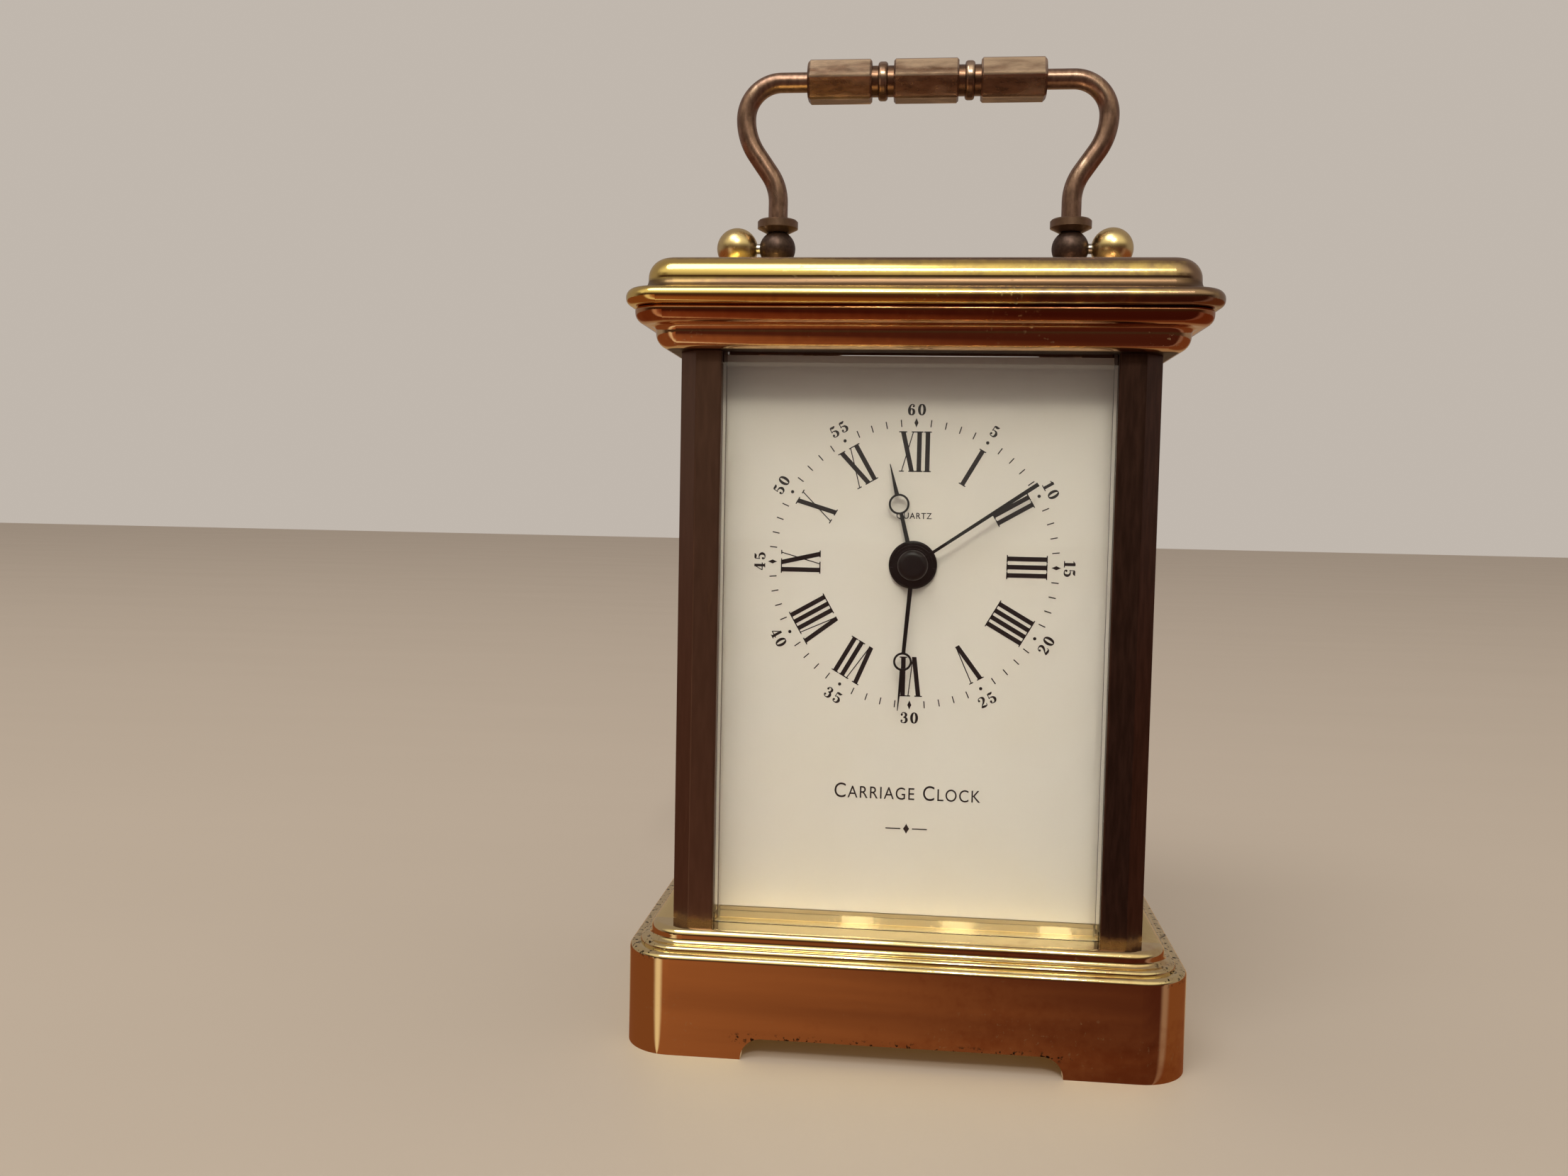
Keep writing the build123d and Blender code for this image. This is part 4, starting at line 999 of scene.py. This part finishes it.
@dataclass
class Pen:
    """Draws flat strokes in the XY plane, in millimetres.

    Attributes:
        hairline: The width of its finest stroke.
        steps: How many short runs join two points of a curved stroke.
        sides: How many sides a disc has.
    """

    hairline: float = 0.16
    steps: int = 5
    sides: int = 20

    def bar(self, foot: float, head: float, width: float, low: float, high: float) -> Thing:
        """A straight stroke whose two ends are level.

        Args:
            foot: Its middle at the lower end, along X.
            head: Its middle at the upper end, along X.
            width: Its width, along X.
            low: The height of its lower end.
            high: The height of its upper end.

        Returns:
            The stroke.
        """
        middle = (low + high) / 2 * MM
        bpy.ops.mesh.primitive_plane_add(size=1, location=(foot * MM, middle, 0))
        stroke = bpy.context.view_layer.objects.active
        stroke.scale = (width * MM, (high - low) * MM, 1)
        Bench.settle(stroke)
        if head != foot:
            bpy.ops.object.mode_set(mode="EDIT")
            bpy.ops.mesh.select_mode(type="VERT")
            bpy.ops.mesh.select_all(action="DESELECT")
            bpy.ops.object.mode_set(mode="OBJECT")
            for vertex in stroke.data.vertices:
                vertex.select = vertex.co.y > middle
            bpy.ops.object.mode_set(mode="EDIT")
            bpy.ops.transform.translate(value=((head - foot) * MM, 0, 0))
            bpy.ops.object.mode_set(mode="OBJECT")
        return stroke

    def serif(self, middle: float, width: float, height: float) -> Thing:
        """A level hairline.

        Args:
            middle: Its middle, along X.
            width: Its length.
            height: The height of its middle.

        Returns:
            The hairline.
        """
        half = self.hairline / 2
        return self.bar(middle, middle, width, height - half, height + half)

    def spot(self, x: float, y: float, radius: float) -> Thing:
        """A filled disc.

        Args:
            x: Its centre, along X.
            y: Its centre, along Y.
            radius: Its radius.

        Returns:
            The disc.
        """
        bpy.ops.mesh.primitive_circle_add(
            vertices=self.sides,
            radius=radius * MM,
            fill_type="NGON",
            location=(x * MM, y * MM, 0),
        )
        return Bench.settle(bpy.context.view_layer.objects.active)

    def sweep(self, spine: Spine, size: float, closed: bool = False) -> Thing:
        """A curved stroke of changing width.

        Args:
            spine: Points of its middle line with the width there, in units of size.
            size: The length of one unit, in millimetres.
            closed: Whether the stroke runs back into its start.

        Returns:
            The stroke.
        """
        count = len(spine)
        last = count if closed else count - 1
        knots = [Vector(p) for p in spine]
        line = []
        for i in range(last):
            before = knots[i - 1] if closed or i else knots[0] * 2 - knots[1]
            start, end = knots[i], knots[(i + 1) % count]
            after = knots[(i + 2) % count] if closed or i + 2 < count else end * 2 - start
            for step in range(self.steps):
                t = step / self.steps
                line.append(
                    0.5
                    * (
                        2 * start
                        + (end - before) * t
                        + (2 * before - 5 * start + 4 * end - after) * t**2
                        + (3 * start - before - 3 * end + after) * t**3
                    )
                )
        line.append(line[0] if closed else knots[-1])
        runs = len(line) - 1
        bpy.ops.mesh.primitive_grid_add(x_subdivisions=1, y_subdivisions=runs, size=1)
        stroke = bpy.context.view_layer.objects.active
        for row, point in enumerate(line):
            ahead = line[row + 1] if row < runs else (line[1] if closed else point)
            behind = line[row - 1] if row else (line[-2] if closed else point)
            heading = (ahead - behind).to_2d().normalized()
            side = Vector((heading.y, -heading.x)) * point.z / 2
            for column, sign in ((0, -1), (1, 1)):
                at = (point.to_2d() + side * sign) * size * MM
                stroke.data.vertices[2 * row + column].co = (at.x, at.y, 0)
        return stroke


# ---------------------------------------------------------------- the dial
def on_dial(centre: Vector, angle: float, radius: float, turn: float = 0.0) -> Matrix:
    """Where a flat mark goes on the dial.

    Args:
        centre: The dial's centre on its front face.
        angle: The mark's hour angle, in degrees clockwise from twelve.
        radius: The mark's distance from the centre, in millimetres.
        turn: A further turn of the mark about itself, in degrees.

    Returns:
        The matrix that carries the mark from the XY plane.
    """
    upright = Matrix.Rotation(math.radians(90), 4, "X")
    spoke = Matrix.Rotation(math.radians(-angle), 4, "Z")
    out = Matrix.Translation((0, radius * MM, 0))
    own = Matrix.Rotation(math.radians(turn), 4, "Z")
    return Matrix.Translation(centre) @ upright @ spoke @ out @ own


class Letter(Enum):
    """The letters of the hour numerals, with half of the room each takes."""

    I = 0.60
    V = 1.02
    X = 1.10


@dataclass
class HourNumerals:
    """The twelve Roman numerals, their feet towards the centre.

    Attributes:
        height: The height of a letter.
        foot_radius: How far from the dial's centre the letters stand.
        stem: The width of a thick stroke.
        thin: The width of a thin stroke.
        tight: The numerals whose letters stand closer, and how much.
        names: The numerals, from twelve o'clock on.
    """

    height: float = 5.85
    foot_radius: float = 13.5
    stem: float = 0.66
    thin: float = 0.15
    tight: dict[str, float] = field(default_factory=lambda: {"IIII": 0.92, "VIII": 0.92})
    names: tuple[str, ...] = (
        "XII", "I", "II", "III", "IIII", "V", "VI", "VII", "VIII", "IX", "X", "XI",
    )

    def letter(self, kind: Letter) -> Thing:
        """One letter, standing on the X axis.

        Args:
            kind: Which letter.

        Returns:
            The letter, flat in the XY plane.
        """
        pen, top = Pen(), self.height
        head, foot = top - pen.hairline / 2, pen.hairline / 2
        if kind is Letter.I:
            strokes = [pen.bar(0, 0, self.stem, 0, top)]
            strokes += [pen.serif(0, 1.1, foot), pen.serif(0, 1.1, head)]
        elif kind is Letter.V:
            strokes = [pen.bar(0.06, -0.66, self.stem, 0, top)]
            strokes += [pen.bar(0.24, 0.84, self.thin, 0, top)]
            strokes += [pen.serif(-0.66, 1.1, head), pen.serif(0.84, 0.64, head)]
        else:
            strokes = [pen.bar(0.68, -0.68, 0.68, 0, top)]
            strokes += [pen.bar(-0.82, 0.82, self.thin, 0, top)]
            strokes += [pen.serif(-0.68, 1.15, head), pen.serif(0.68, 1.0, foot)]
            strokes += [pen.serif(0.84, 0.6, head), pen.serif(-0.82, 0.7, foot)]
        return Bench.join(f"letter_{kind.name}", strokes)

    def build(self, centre: Vector) -> Thing:
        """All twelve, on the dial.

        Args:
            centre: The dial's centre on its front face.

        Returns:
            One flat piece.
        """
        letters = {kind.name: self.letter(kind) for kind in Letter}
        marks = []
        for hour, name in enumerate(self.names):
            squeeze = self.tight.get(name, 1.0)
            room = [Letter[c].value * squeeze for c in name]
            along = -sum(room)
            for character, half in zip(name, room):
                along += half
                slide = Matrix.Translation((along * MM, 0, 0))
                spot = on_dial(centre, 30 * hour, self.foot_radius)
                marks.append(Bench.copy(letters[character], spot @ slide))
                along += half
        Bench.drop(list(letters.values()))
        return Bench.join("hour_numerals", marks)


@dataclass
class MinuteTrack:
    """The minute marks: fine ticks, dots at the hours and lozenges at the quarters.

    Attributes:
        radius: How far from the dial's centre the marks lie.
        tick_length: The length of a tick.
        tick_width: The width of a tick.
        dot_radius: The radius of a dot.
        lozenge_half: Half the width and half the height of a lozenge.
        lozenge_flank: Where its sides bend, as shares of a circle's points.
    """

    radius: float = 20.6
    tick_length: float = 1.05
    tick_width: float = 0.16
    dot_radius: float = 0.24
    lozenge_half: tuple[float, float] = (0.30, 0.70)
    lozenge_flank: tuple[float, float] = (0.62, 0.715)

    def lozenge(self) -> Thing:
        """A long pointed mark with a full waist.

        Returns:
            The mark, flat in the XY plane.
        """
        bpy.ops.mesh.primitive_circle_add(vertices=8, radius=MM, fill_type="NGON")
        mark = bpy.context.view_layer.objects.active
        wide, tall = self.lozenge_half
        for vertex in mark.data.vertices:
            across, up = vertex.co.x / MM, vertex.co.y / MM
            tip = min(abs(across), abs(up)) < 0.1
            narrow, short = (1.0, 1.0) if tip else self.lozenge_flank
            vertex.co = (across * narrow * wide * MM, up * short * tall * MM, 0)
        return mark

    def build(self, centre: Vector) -> Thing:
        """All sixty marks, on the dial.

        Args:
            centre: The dial's centre on its front face.

        Returns:
            One flat piece.
        """
        pen, half = Pen(), self.tick_length / 2
        tick = pen.bar(0, 0, self.tick_width, -half, half)
        dot, lozenge = pen.spot(0, 0, self.dot_radius), self.lozenge()
        marks = []
        for minute in range(60):
            pattern = lozenge if minute % 15 == 0 else dot if minute % 5 == 0 else tick
            marks.append(Bench.copy(pattern, on_dial(centre, 6 * minute, self.radius)))
        Bench.drop([tick, dot, lozenge])
        return Bench.join("minute_track", marks)


@dataclass
class MinuteFigures:
    """The bold figures outside the minute track, from 5 to 60.

    Attributes:
        height: The height of a figure.
        radius: How far from the dial's centre the figures stand.
        spacing: The distance between two figures of a number.
        narrow: That distance in 15, whose first figure is slim.
        weight: How much bolder the strokes are than drawn.
    """

    height: float = 1.62
    radius: float = 22.5
    spacing: float = 1.5
    narrow: float = 1.28
    weight: float = 1.22

    def figure(self, digit: str) -> Thing:
        """One figure, centred on the origin of the XY plane.

        Args:
            digit: Which figure.

        Returns:
            The figure, flat.
        """
        pen, size = Pen(), self.height
        bowl = [(0.03, 0.545, 0.1), (0.16, 0.49, 0.14), (0.24, 0.29, 0.20), (0.15, 0.09, 0.14),
                (-0.02, 0.03, 0.07), (-0.2, 0.07, 0.06), (-0.28, 0.2, 0.05)]
        turns = [(math.cos(a), math.sin(a)) for a in (math.tau * i / 12 for i in range(12))]
        sweeps = {
            "0": [[(0.235 * c, 0.5 + 0.465 * s, 0.07 + 0.13 * abs(c)) for c, s in turns]],
            "1": [[(0.04, 0.03, 0.22), (0.04, 0.5, 0.22), (0.04, 1.0, 0.22)],
                  [(-0.25, 0.82, 0.05), (-0.1, 0.88, 0.08), (0.0, 0.97, 0.07)],
                  [(-0.26, 0.03, 0.07), (0.04, 0.03, 0.07), (0.32, 0.03, 0.07)]],
            "2": [[(-0.27, 0.72, 0.05), (-0.2, 0.9, 0.06), (0, 0.965, 0.07), (0.18, 0.88, 0.16),
                   (0.22, 0.7, 0.19), (0.1, 0.47, 0.14), (-0.12, 0.26, 0.08), (-0.27, 0.05, 0.06)],
                  [(-0.29, 0.08, 0.05), (-0.1, 0.1, 0.17), (0.12, 0.08, 0.15), (0.26, 0.12, 0.07),
                   (0.31, 0.3, 0.04)]],
            "3": [[(-0.26, 0.78, 0.05), (-0.15, 0.93, 0.06), (0, 0.965, 0.07), (0.16, 0.87, 0.15),
                   (0.19, 0.74, 0.18), (0.12, 0.6, 0.12), (-0.05, 0.535, 0.05)],
                  [(-0.05, 0.53, 0.05), *bowl[1:]]],
            "4": [[(0.1, 0.0, 0.19), (0.1, 0.5, 0.19), (0.1, 1.0, 0.19)],
                  [(0.08, 0.97, 0.06), (-0.13, 0.62, 0.06), (-0.33, 0.27, 0.06)],
                  [(-0.35, 0.27, 0.07), (0, 0.27, 0.07), (0.34, 0.27, 0.07)],
                  [(-0.1, 0.03, 0.06), (0.1, 0.03, 0.06), (0.3, 0.03, 0.06)]],
            "5": [[(-0.2, 0.94, 0.07), (-0.21, 0.7, 0.06), (-0.23, 0.5, 0.06)],
                  [(-0.2, 0.93, 0.1), (-0.05, 0.9, 0.17), (0.1, 0.9, 0.16), (0.24, 0.98, 0.05)],
                  [(-0.23, 0.49, 0.05), (-0.1, 0.58, 0.06), *bowl]],
            "6": [[(0.01 + 0.2 * c, 0.3 + 0.265 * s, 0.07 + 0.12 * abs(c)) for c, s in turns],
                  [(-0.2, 0.3, 0.19), (-0.2, 0.55, 0.18), (-0.1, 0.83, 0.12), (0.06, 0.96, 0.07),
                   (0.2, 0.92, 0.06), (0.26, 0.8, 0.05)]],
        }
        balls = {
            "2": [(-0.2, 0.74, 0.1)],
            "3": [(-0.19, 0.77, 0.1), (-0.2, 0.22, 0.1)],
            "5": [(-0.19, 0.22, 0.1)],
            "6": [(0.18, 0.79, 0.09)],
        }
        rings = {("0", 0), ("6", 0)}
        strokes = []
        for i, spine in enumerate(sweeps[digit]):
            bold = [(x, y, width * self.weight) for x, y, width in spine]
            strokes.append(pen.sweep(bold, size, (digit, i) in rings))
        for ball in balls.get(digit, ()):
            strokes.append(pen.spot(*(size * v for v in ball)))
        made = Bench.join(f"figure_{digit}", strokes)
        made.location.y = -size * MM / 2
        return Bench.settle(made)

    def build(self, centre: Vector) -> Thing:
        """All twelve, on the dial.

        Args:
            centre: The dial's centre on its front face.

        Returns:
            One flat piece.
        """
        figures = {digit: self.figure(digit) for digit in "0123456"}
        marks = []
        for minute in range(5, 65, 5):
            text = str(minute)
            lower = 90 < 6 * minute < 270
            gap = self.narrow if text == "15" else self.spacing
            for place, digit in enumerate(text):
                offset = (place - (len(text) - 1) / 2) * gap
                slide = Matrix.Translation((offset * MM, 0, 0))
                spot = on_dial(centre, 6 * minute, self.radius, 180 if lower else 0)
                marks.append(Bench.copy(figures[digit], spot @ slide))
        Bench.drop(list(figures.values()))
        return Bench.join("minute_figures", marks)


@dataclass(frozen=True)
class Line:
    """One line of small capitals on the dial.

    Attributes:
        name: The name of its piece.
        text: What it says.
        height: The height of its capitals.
        width: Its length.
        drop: How far it lies below the dial's centre.
        bold: How much its strokes grow, in units of the type's size.
        spacing: How much wider than usual its letters are set.
        small: The height of the small capitals, as a share of the large ones.
    """

    name: str
    text: str
    height: float
    width: float
    drop: float
    bold: float = 0.0
    spacing: float = 1.12
    small: float = 0.82

    def build(self, centre: Vector) -> Thing:
        """The line as a flat mesh on the dial.

        Args:
            centre: The dial's centre on its front face.

        Returns:
            The line.
        """
        bpy.ops.object.text_add()
        words = bpy.context.view_layer.objects.active
        words.data.body = self.text
        words.data.size = 1.0
        words.data.space_character = self.spacing
        words.data.offset = self.bold
        words.data.small_caps_scale = self.small
        for character, style in zip(self.text, words.data.body_format):
            style.use_small_caps = character.islower()
        Bench.take(words)
        bpy.ops.object.convert(target="MESH")
        low = [min(v.co[i] for v in words.data.vertices) for i in (0, 1)]
        high = [max(v.co[i] for v in words.data.vertices) for i in (0, 1)]
        wide = self.width * MM / (high[0] - low[0])
        tall = self.height * MM / (high[1] - low[1])
        middle = Matrix.Translation((-(low[0] + high[0]) / 2, -(low[1] + high[1]) / 2, 0))
        size = Matrix.Diagonal((wide, tall, 1, 1))
        words.data.transform(on_dial(centre, 180, self.drop, 180) @ size @ middle)
        words.name = self.name
        return words


@dataclass
class Dial:
    """The dial plate, its printing and what holds it.

    Attributes:
        nodes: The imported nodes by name.
        middle_z: The height of the dial's centre.
        ink: How thick the ink is.
        ornament_drop: How far the ornament lies below the centre.
        lines: The lines of lettering.
    """

    nodes: Mapping[str, Thing]
    middle_z: float = 70.4
    ink: float = 0.02
    ornament_drop: float = 39.0
    lines: tuple[Line, ...] = (
        Line("dial_word", "QUARTZ", 1.06, 5.1, -7.05, 0.006),
        Line("dial_title", "Carriage Clock", 2.2, 21.4, 33.6),
    )

    def ornament(self, centre: Vector) -> Thing:
        """A lozenge between two short rules, below the title.

        Args:
            centre: The dial's centre on its front face.

        Returns:
            The ornament, flat.
        """
        pen = Pen()
        lozenge = MinuteTrack(lozenge_half=(0.45, 0.75)).lozenge()
        marks = [pen.serif(-1.95, 2.2, 0), pen.serif(1.95, 2.2, 0), Bench.settle(lozenge)]
        mark = Bench.join("dial_ornament", marks)
        mark.matrix_world = on_dial(centre, 180, self.ornament_drop, 180)
        return Bench.settle(mark)

    def build(self) -> None:
        """Prints the dial and dresses its parts."""
        low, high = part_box("dial_plate")
        centre = Vector(((low.x + high.x) / 2, low.y, self.middle_z * MM))
        printed = (HourNumerals(), MinuteTrack(), MinuteFigures(), *self.lines)
        prints = [part.build(centre) for part in printed] + [self.ornament(centre)]
        for piece in prints:
            Bench.thicken(piece, self.ink)
            Bench.dress(piece, INK)
            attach(piece, "case")
            LOG.info("printed %s", piece.name)
        Bench.dress(self.nodes["dial_plate"], ENAMEL)
        Bench.dress(self.nodes["dial_bush"], DOOR_BRASS)
        Bench.dress(self.nodes["dial_washer"], RUBBER)
        Bench.dress(self.nodes["dial_nut"], BLACK)


# ---------------------------------------------------------------- other parts
@dataclass
class Dressed:
    """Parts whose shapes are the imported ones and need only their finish.

    Attributes:
        title: What the parts are together.
        finishes: The finish of each node, by the node's name.
    """

    title: str
    finishes: Mapping[str, Finish]

    def build(self, nodes: Mapping[str, Thing]) -> None:
        """Gives each node its finish.

        Args:
            nodes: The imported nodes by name.
        """
        for name, finish in self.finishes.items():
            Bench.dress(nodes[name], finish)
        LOG.info("dressed the %s: %d pieces", self.title, len(self.finishes))


CASE = Dressed("case", {
    "base_shell": BRASS_BASE, "cornice": BRASS_CORNICE, "top_cap": BRASS_CAP,
    "post_front_left": BRONZE_POST, "post_front_right": BRONZE_POST,
    "post_rear_left": BRONZE_POST, "post_rear_right": BRONZE_POST,
    "glass_front": GLASS, "glass_left": GLASS, "glass_right": GLASS,
    "post_screws_lower": STEEL, "post_screws_upper": STEEL, "cap_screws": STEEL,
    "dial_screws": STEEL,
})
HANDLE = Dressed("handle", {
    "handle_post_left": BRASS_BALL, "handle_post_right": BRASS_BALL, "handle_post_nuts": STEEL,
    "handle_pins": STEEL, "handle_eye_left": BRONZE_DARK, "handle_eye_right": BRONZE_DARK,
    "handle_bow_left": BRONZE_ROD, "handle_bow_right": BRONZE_ROD, "handle_grip": BRONZE_GRIP,
})
REAR_DOOR = Dressed("rear door", {
    "door_frame": DOOR_BRASS, "door_glass": GLASS, "door_pins": STEEL, "door_knob": DOOR_BRASS,
    "door_stop": DOOR_BRASS, "door_stop_screw": STEEL,
})
HANDS = Dressed("hands", {"hour_hand": BLACK, "minute_hand": BLACK, "seconds_hand": BLACK})
MOVEMENT = Dressed("movement", {
    "movement_case": CASE_PLASTIC, "movement_cover": CASE_PLASTIC, "cover_screws": STEEL,
    "setting_knob": CASE_PLASTIC, "seconds_wheel": WHEEL_PLASTIC, "third_wheel": WHEEL_PLASTIC,
    "centre_wheel": WHEEL_PLASTIC, "intermediate_wheel": WHEEL_PLASTIC, "rotor": WHEEL_PLASTIC,
    "cannon_pinion": WHEEL_PLASTIC, "minute_wheel": WHEEL_PLASTIC, "hour_wheel": WHEEL_PLASTIC,
    "setting_pinion": WHEEL_PLASTIC, "rotor_magnet": FERRITE, "stator": IRON,
    "coil_bobbin": BOBBIN_PLASTIC, "coil_winding": Winding(), "circuit_board": Laminate(),
    "circuit_chip": RESIN, "quartz_crystal": STEEL, "contact_positive": NICKEL,
    "contact_negative": NICKEL, "battery": BatterySleeve(),
})


# ---------------------------------------------------------------- the studio
@dataclass
class Viewpoint:
    """Where the camera stands and how it is turned.

    Attributes:
        place: Where it stands.
        left: How far it is turned to the left, in degrees.
        down: How far it looks down, in degrees.
        roll: How far it is tilted about its own axis, in degrees.
        lens: Its focal length.
        film: The width of its film.
    """

    place: tuple[float, float, float] = (1.65, -216.07, 78.30)
    left: float = 6.009
    down: float = 3.447
    roll: float = -1.134
    lens: float = 30.50
    film: float = 36.0

    def stand(self) -> None:
        """Makes the camera."""
        yaw, pitch, roll = (math.radians(a) for a in (self.left, self.down, self.roll))
        forward = Vector((
            -math.sin(yaw) * math.cos(pitch), math.cos(yaw) * math.cos(pitch), -math.sin(pitch)
        ))
        level = Vector((math.cos(yaw), math.sin(yaw), 0))
        upright = level.cross(forward)
        right = level * math.cos(roll) - upright * math.sin(roll)
        up = level * math.sin(roll) + upright * math.cos(roll)
        turn = Matrix((right, up, -forward)).transposed().to_4x4()
        data = bpy.data.cameras.new("viewpoint")
        data.lens = self.lens
        data.sensor_width = self.film
        data.sensor_fit = "HORIZONTAL"
        data.clip_start = 0.005
        camera = bpy.data.objects.new("viewpoint", data)
        bpy.context.scene.collection.objects.link(camera)
        camera.matrix_world = Matrix.Translation(Vector(self.place) * MM) @ turn
        bpy.context.scene.camera = camera


@dataclass(frozen=True)
class Lamp:
    """An oval lamp that shines at the clock.

    Attributes:
        name: Its name.
        place: Where it hangs, in metres.
        width: How wide it is, in metres.
        height: How tall it is, in metres.
        power: Its power, in watts.
        colour: The colour of its light.
        target: The point it shines at, in metres.
    """

    name: str
    place: tuple[float, float, float]
    width: float
    height: float
    power: float
    colour: Colour = (1.0, 0.93, 0.82)
    target: tuple[float, float, float] = (0, 0, 0.07)

    def hang(self) -> None:
        """Makes the lamp."""
        data = bpy.data.lights.new(self.name, "AREA")
        data.shape = "ELLIPSE"
        data.size = self.width
        data.size_y = self.height
        data.energy = self.power
        data.color = self.colour
        lamp = bpy.data.objects.new(self.name, data)
        bpy.context.scene.collection.objects.link(lamp)
        lamp.location = self.place
        aim = Vector(self.target) - lamp.location
        lamp.rotation_euler = aim.to_track_quat("-Z", "Y").to_euler()


@dataclass(frozen=True)
class PaleFloor(Finish):
    """The pale floor, which polished metal sees as a painted reflection, dark as a wooden table.

    Attributes:
        pale: The floor's own colour.
        near: The dark glow at the front and to the left.
        far: The dark glow to the right.
        beside: The glow beside the clock.
        behind: The glow behind it.
        gleam: The bright streak that the left corner of the base mirrors.
        faint_gleam: The streak that the right corner mirrors.
        corner: The point on the base's right corner from which bearings are taken.
        gleam_bearing: How far below +X the left streak lies, in radians.
        gleam_shift: How much nearer to +X the right streak lies, in radians.
    """

    name: str = "pale_floor"
    pale: Colour = (0.62, 0.54, 0.45)
    near: Colour = (0.34, 0.115, 0.050)
    far: Colour = (0.070, 0.017, 0.011)
    beside: Colour = (0.20, 0.065, 0.027)
    behind: Colour = (0.40, 0.27, 0.16)
    gleam: Colour = (0.78, 0.60, 0.45)
    faint_gleam: Colour = (0.30, 0.17, 0.14)
    corner: tuple[float, float] = (34.6, -33.1)
    gleam_bearing: float = 0.925
    gleam_shift: float = 0.50

    def shade(self, graph: Graph) -> dict[str, Feed]:
        """The inputs of the surface's Principled shader."""
        cloud = graph.grain(60, 3, (3, 1, 1))
        return {
            "Base Color": graph.mix(cloud, self.pale, shaded(self.pale, 0.93)),
            "Roughness": cloud * 0.1 + 0.45,
        }

    def output(self, graph: Graph) -> Signal:
        """The lit floor, and a glowing painted reflection in its place for mirrored rays."""
        streak = graph.grain(14, 4, (7, 1, 1), shift=2.0) - 0.5
        x, y = graph.along("X"), graph.along("Y")
        away = x * 1.2 + y * -0.4 + streak * 90.0
        tone = graph.mix(away.rise(-70, 100), self.near, self.far)
        corner_x, corner_y = self.corner
        bearing = graph.math("ARCTAN2", y - corner_y, x.size() - corner_x)
        right = x.rise(-10, 10)
        turned = bearing + self.gleam_bearing - right * self.gleam_shift
        tone = graph.mix(turned.rise(0.02, 0.12), tone, self.beside)
        tone = graph.mix(bearing.rise(0.85, 1.15), tone, self.behind)
        gleam = graph.mix(right, self.gleam, self.faint_gleam)
        tone = graph.mix(turned.size().rise(0.26, 0.04), tone, gleam)
        # Painted reflection: an emission that only mirrored rays see, with streaks that put
        # highlights on the base.
        mirrored_glow = graph.node("ShaderNodeEmission", inputs={"Color": tone})
        path = graph.node("ShaderNodeLightPath")
        made = graph.node(
            "ShaderNodeMixShader",
            inputs={
                0: Signal(graph, path.outputs["Is Glossy Ray"]),
                1: super().output(graph),
                2: Signal(graph, mirrored_glow.outputs[0]),
            },
        )
        return Signal(graph, made.outputs[0])


@dataclass
class Studio:
    """The pale floor, the lamps and the room's soft light.

    Attributes:
        wall: The room's light on everything.
        dusk: The lower part of the room in front, as polished metal sees it.
        ceiling: The upper part of the room in front, as polished metal sees it.
        far_wall: The room behind, as polished metal sees it.
        rising: The slopes between which the dusk turns into the ceiling.
        turning: The headings between which the front turns into the far wall.
        floor_size: How wide and deep the floor is, in metres.
        lamps: The lamps, placed in metres.
    """

    wall: Colour = (0.53, 0.475, 0.42)
    dusk: Colour = (0.060, 0.030, 0.018)
    ceiling: Colour = (0.88, 0.80, 0.60)
    far_wall: Colour = (0.30, 0.25, 0.225)
    rising: tuple[float, float] = (0.20, 0.52)
    turning: tuple[float, float] = (-0.55, 0.05)
    floor_size: float = 6.0
    lamps: tuple[Lamp, ...] = (
        Lamp("lamp_left", (-0.09, -1.50, 1.35), 0.05, 0.30, 3.4),
        Lamp("lamp_middle", (0.07, -1.50, 1.35), 0.05, 0.30, 3.4),
        Lamp("lamp_right", (0.224, -1.50, 1.35), 0.05, 0.30, 3.4),
        Lamp("lamp_soft", (-0.6, -1.1, 1.9), 1.2, 1.2, 13.0, (1.0, 0.97, 0.93)),
    )

    def lay_floor(self) -> None:
        """The floor: a wide board under the clock."""
        bpy.ops.object.select_all(action="DESELECT")
        bpy.ops.mesh.primitive_plane_add(size=self.floor_size, location=(0, 0, 0))
        floor = bpy.context.view_layer.objects.active
        floor.name = "floor"
        Bench.dress(floor, PaleFloor())

    def tint_room(self) -> None:
        """Lights the room evenly, though polished metal sees it dusky under a bright ceiling."""
        world = bpy.data.worlds.new("room")
        bpy.context.scene.world = world
        world.use_nodes = True
        graph = Graph(world.node_tree)
        heading = graph.node("ShaderNodeTexCoord").outputs["Generated"]
        parts = graph.node("ShaderNodeSeparateXYZ", inputs={"Vector": Signal(graph, heading)})
        back, up = Signal(graph, parts.outputs["Y"]), Signal(graph, parts.outputs["Z"])
        front = graph.mix(up.rise(*self.rising), self.dusk, self.ceiling)
        seen = graph.mix(back.rise(*self.turning), front, self.far_wall)
        path = graph.node("ShaderNodeLightPath")
        mirrored = Signal(graph, path.outputs["Is Glossy Ray"]) * (
            1.0 - Signal(graph, path.outputs["Is Transmission Ray"])
        )
        light = graph.node(
            "ShaderNodeBackground",
            inputs={"Color": graph.mix(mirrored, self.wall, seen), "Strength": 1.0},
        )
        graph.node("ShaderNodeOutputWorld", inputs={"Surface": Signal(graph, light.outputs[0])})

    def build(self) -> None:
        """Lays the floor and lights it."""
        self.lay_floor()
        self.tint_room()
        for lamp in self.lamps:
            lamp.hang()
        bpy.context.scene.view_settings.view_transform = "Standard"


def main() -> None:
    """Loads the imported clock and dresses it."""
    logging.basicConfig(level=logging.INFO, format="%(message)s")
    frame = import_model()
    nodes = frame["nodes"]
    Viewpoint().stand()
    Studio().build()
    Dial(nodes).build()
    for parts in (CASE, HANDLE, REAR_DOOR, HANDS, MOVEMENT):
        parts.build(nodes)


if __name__ == "__main__":
    main()
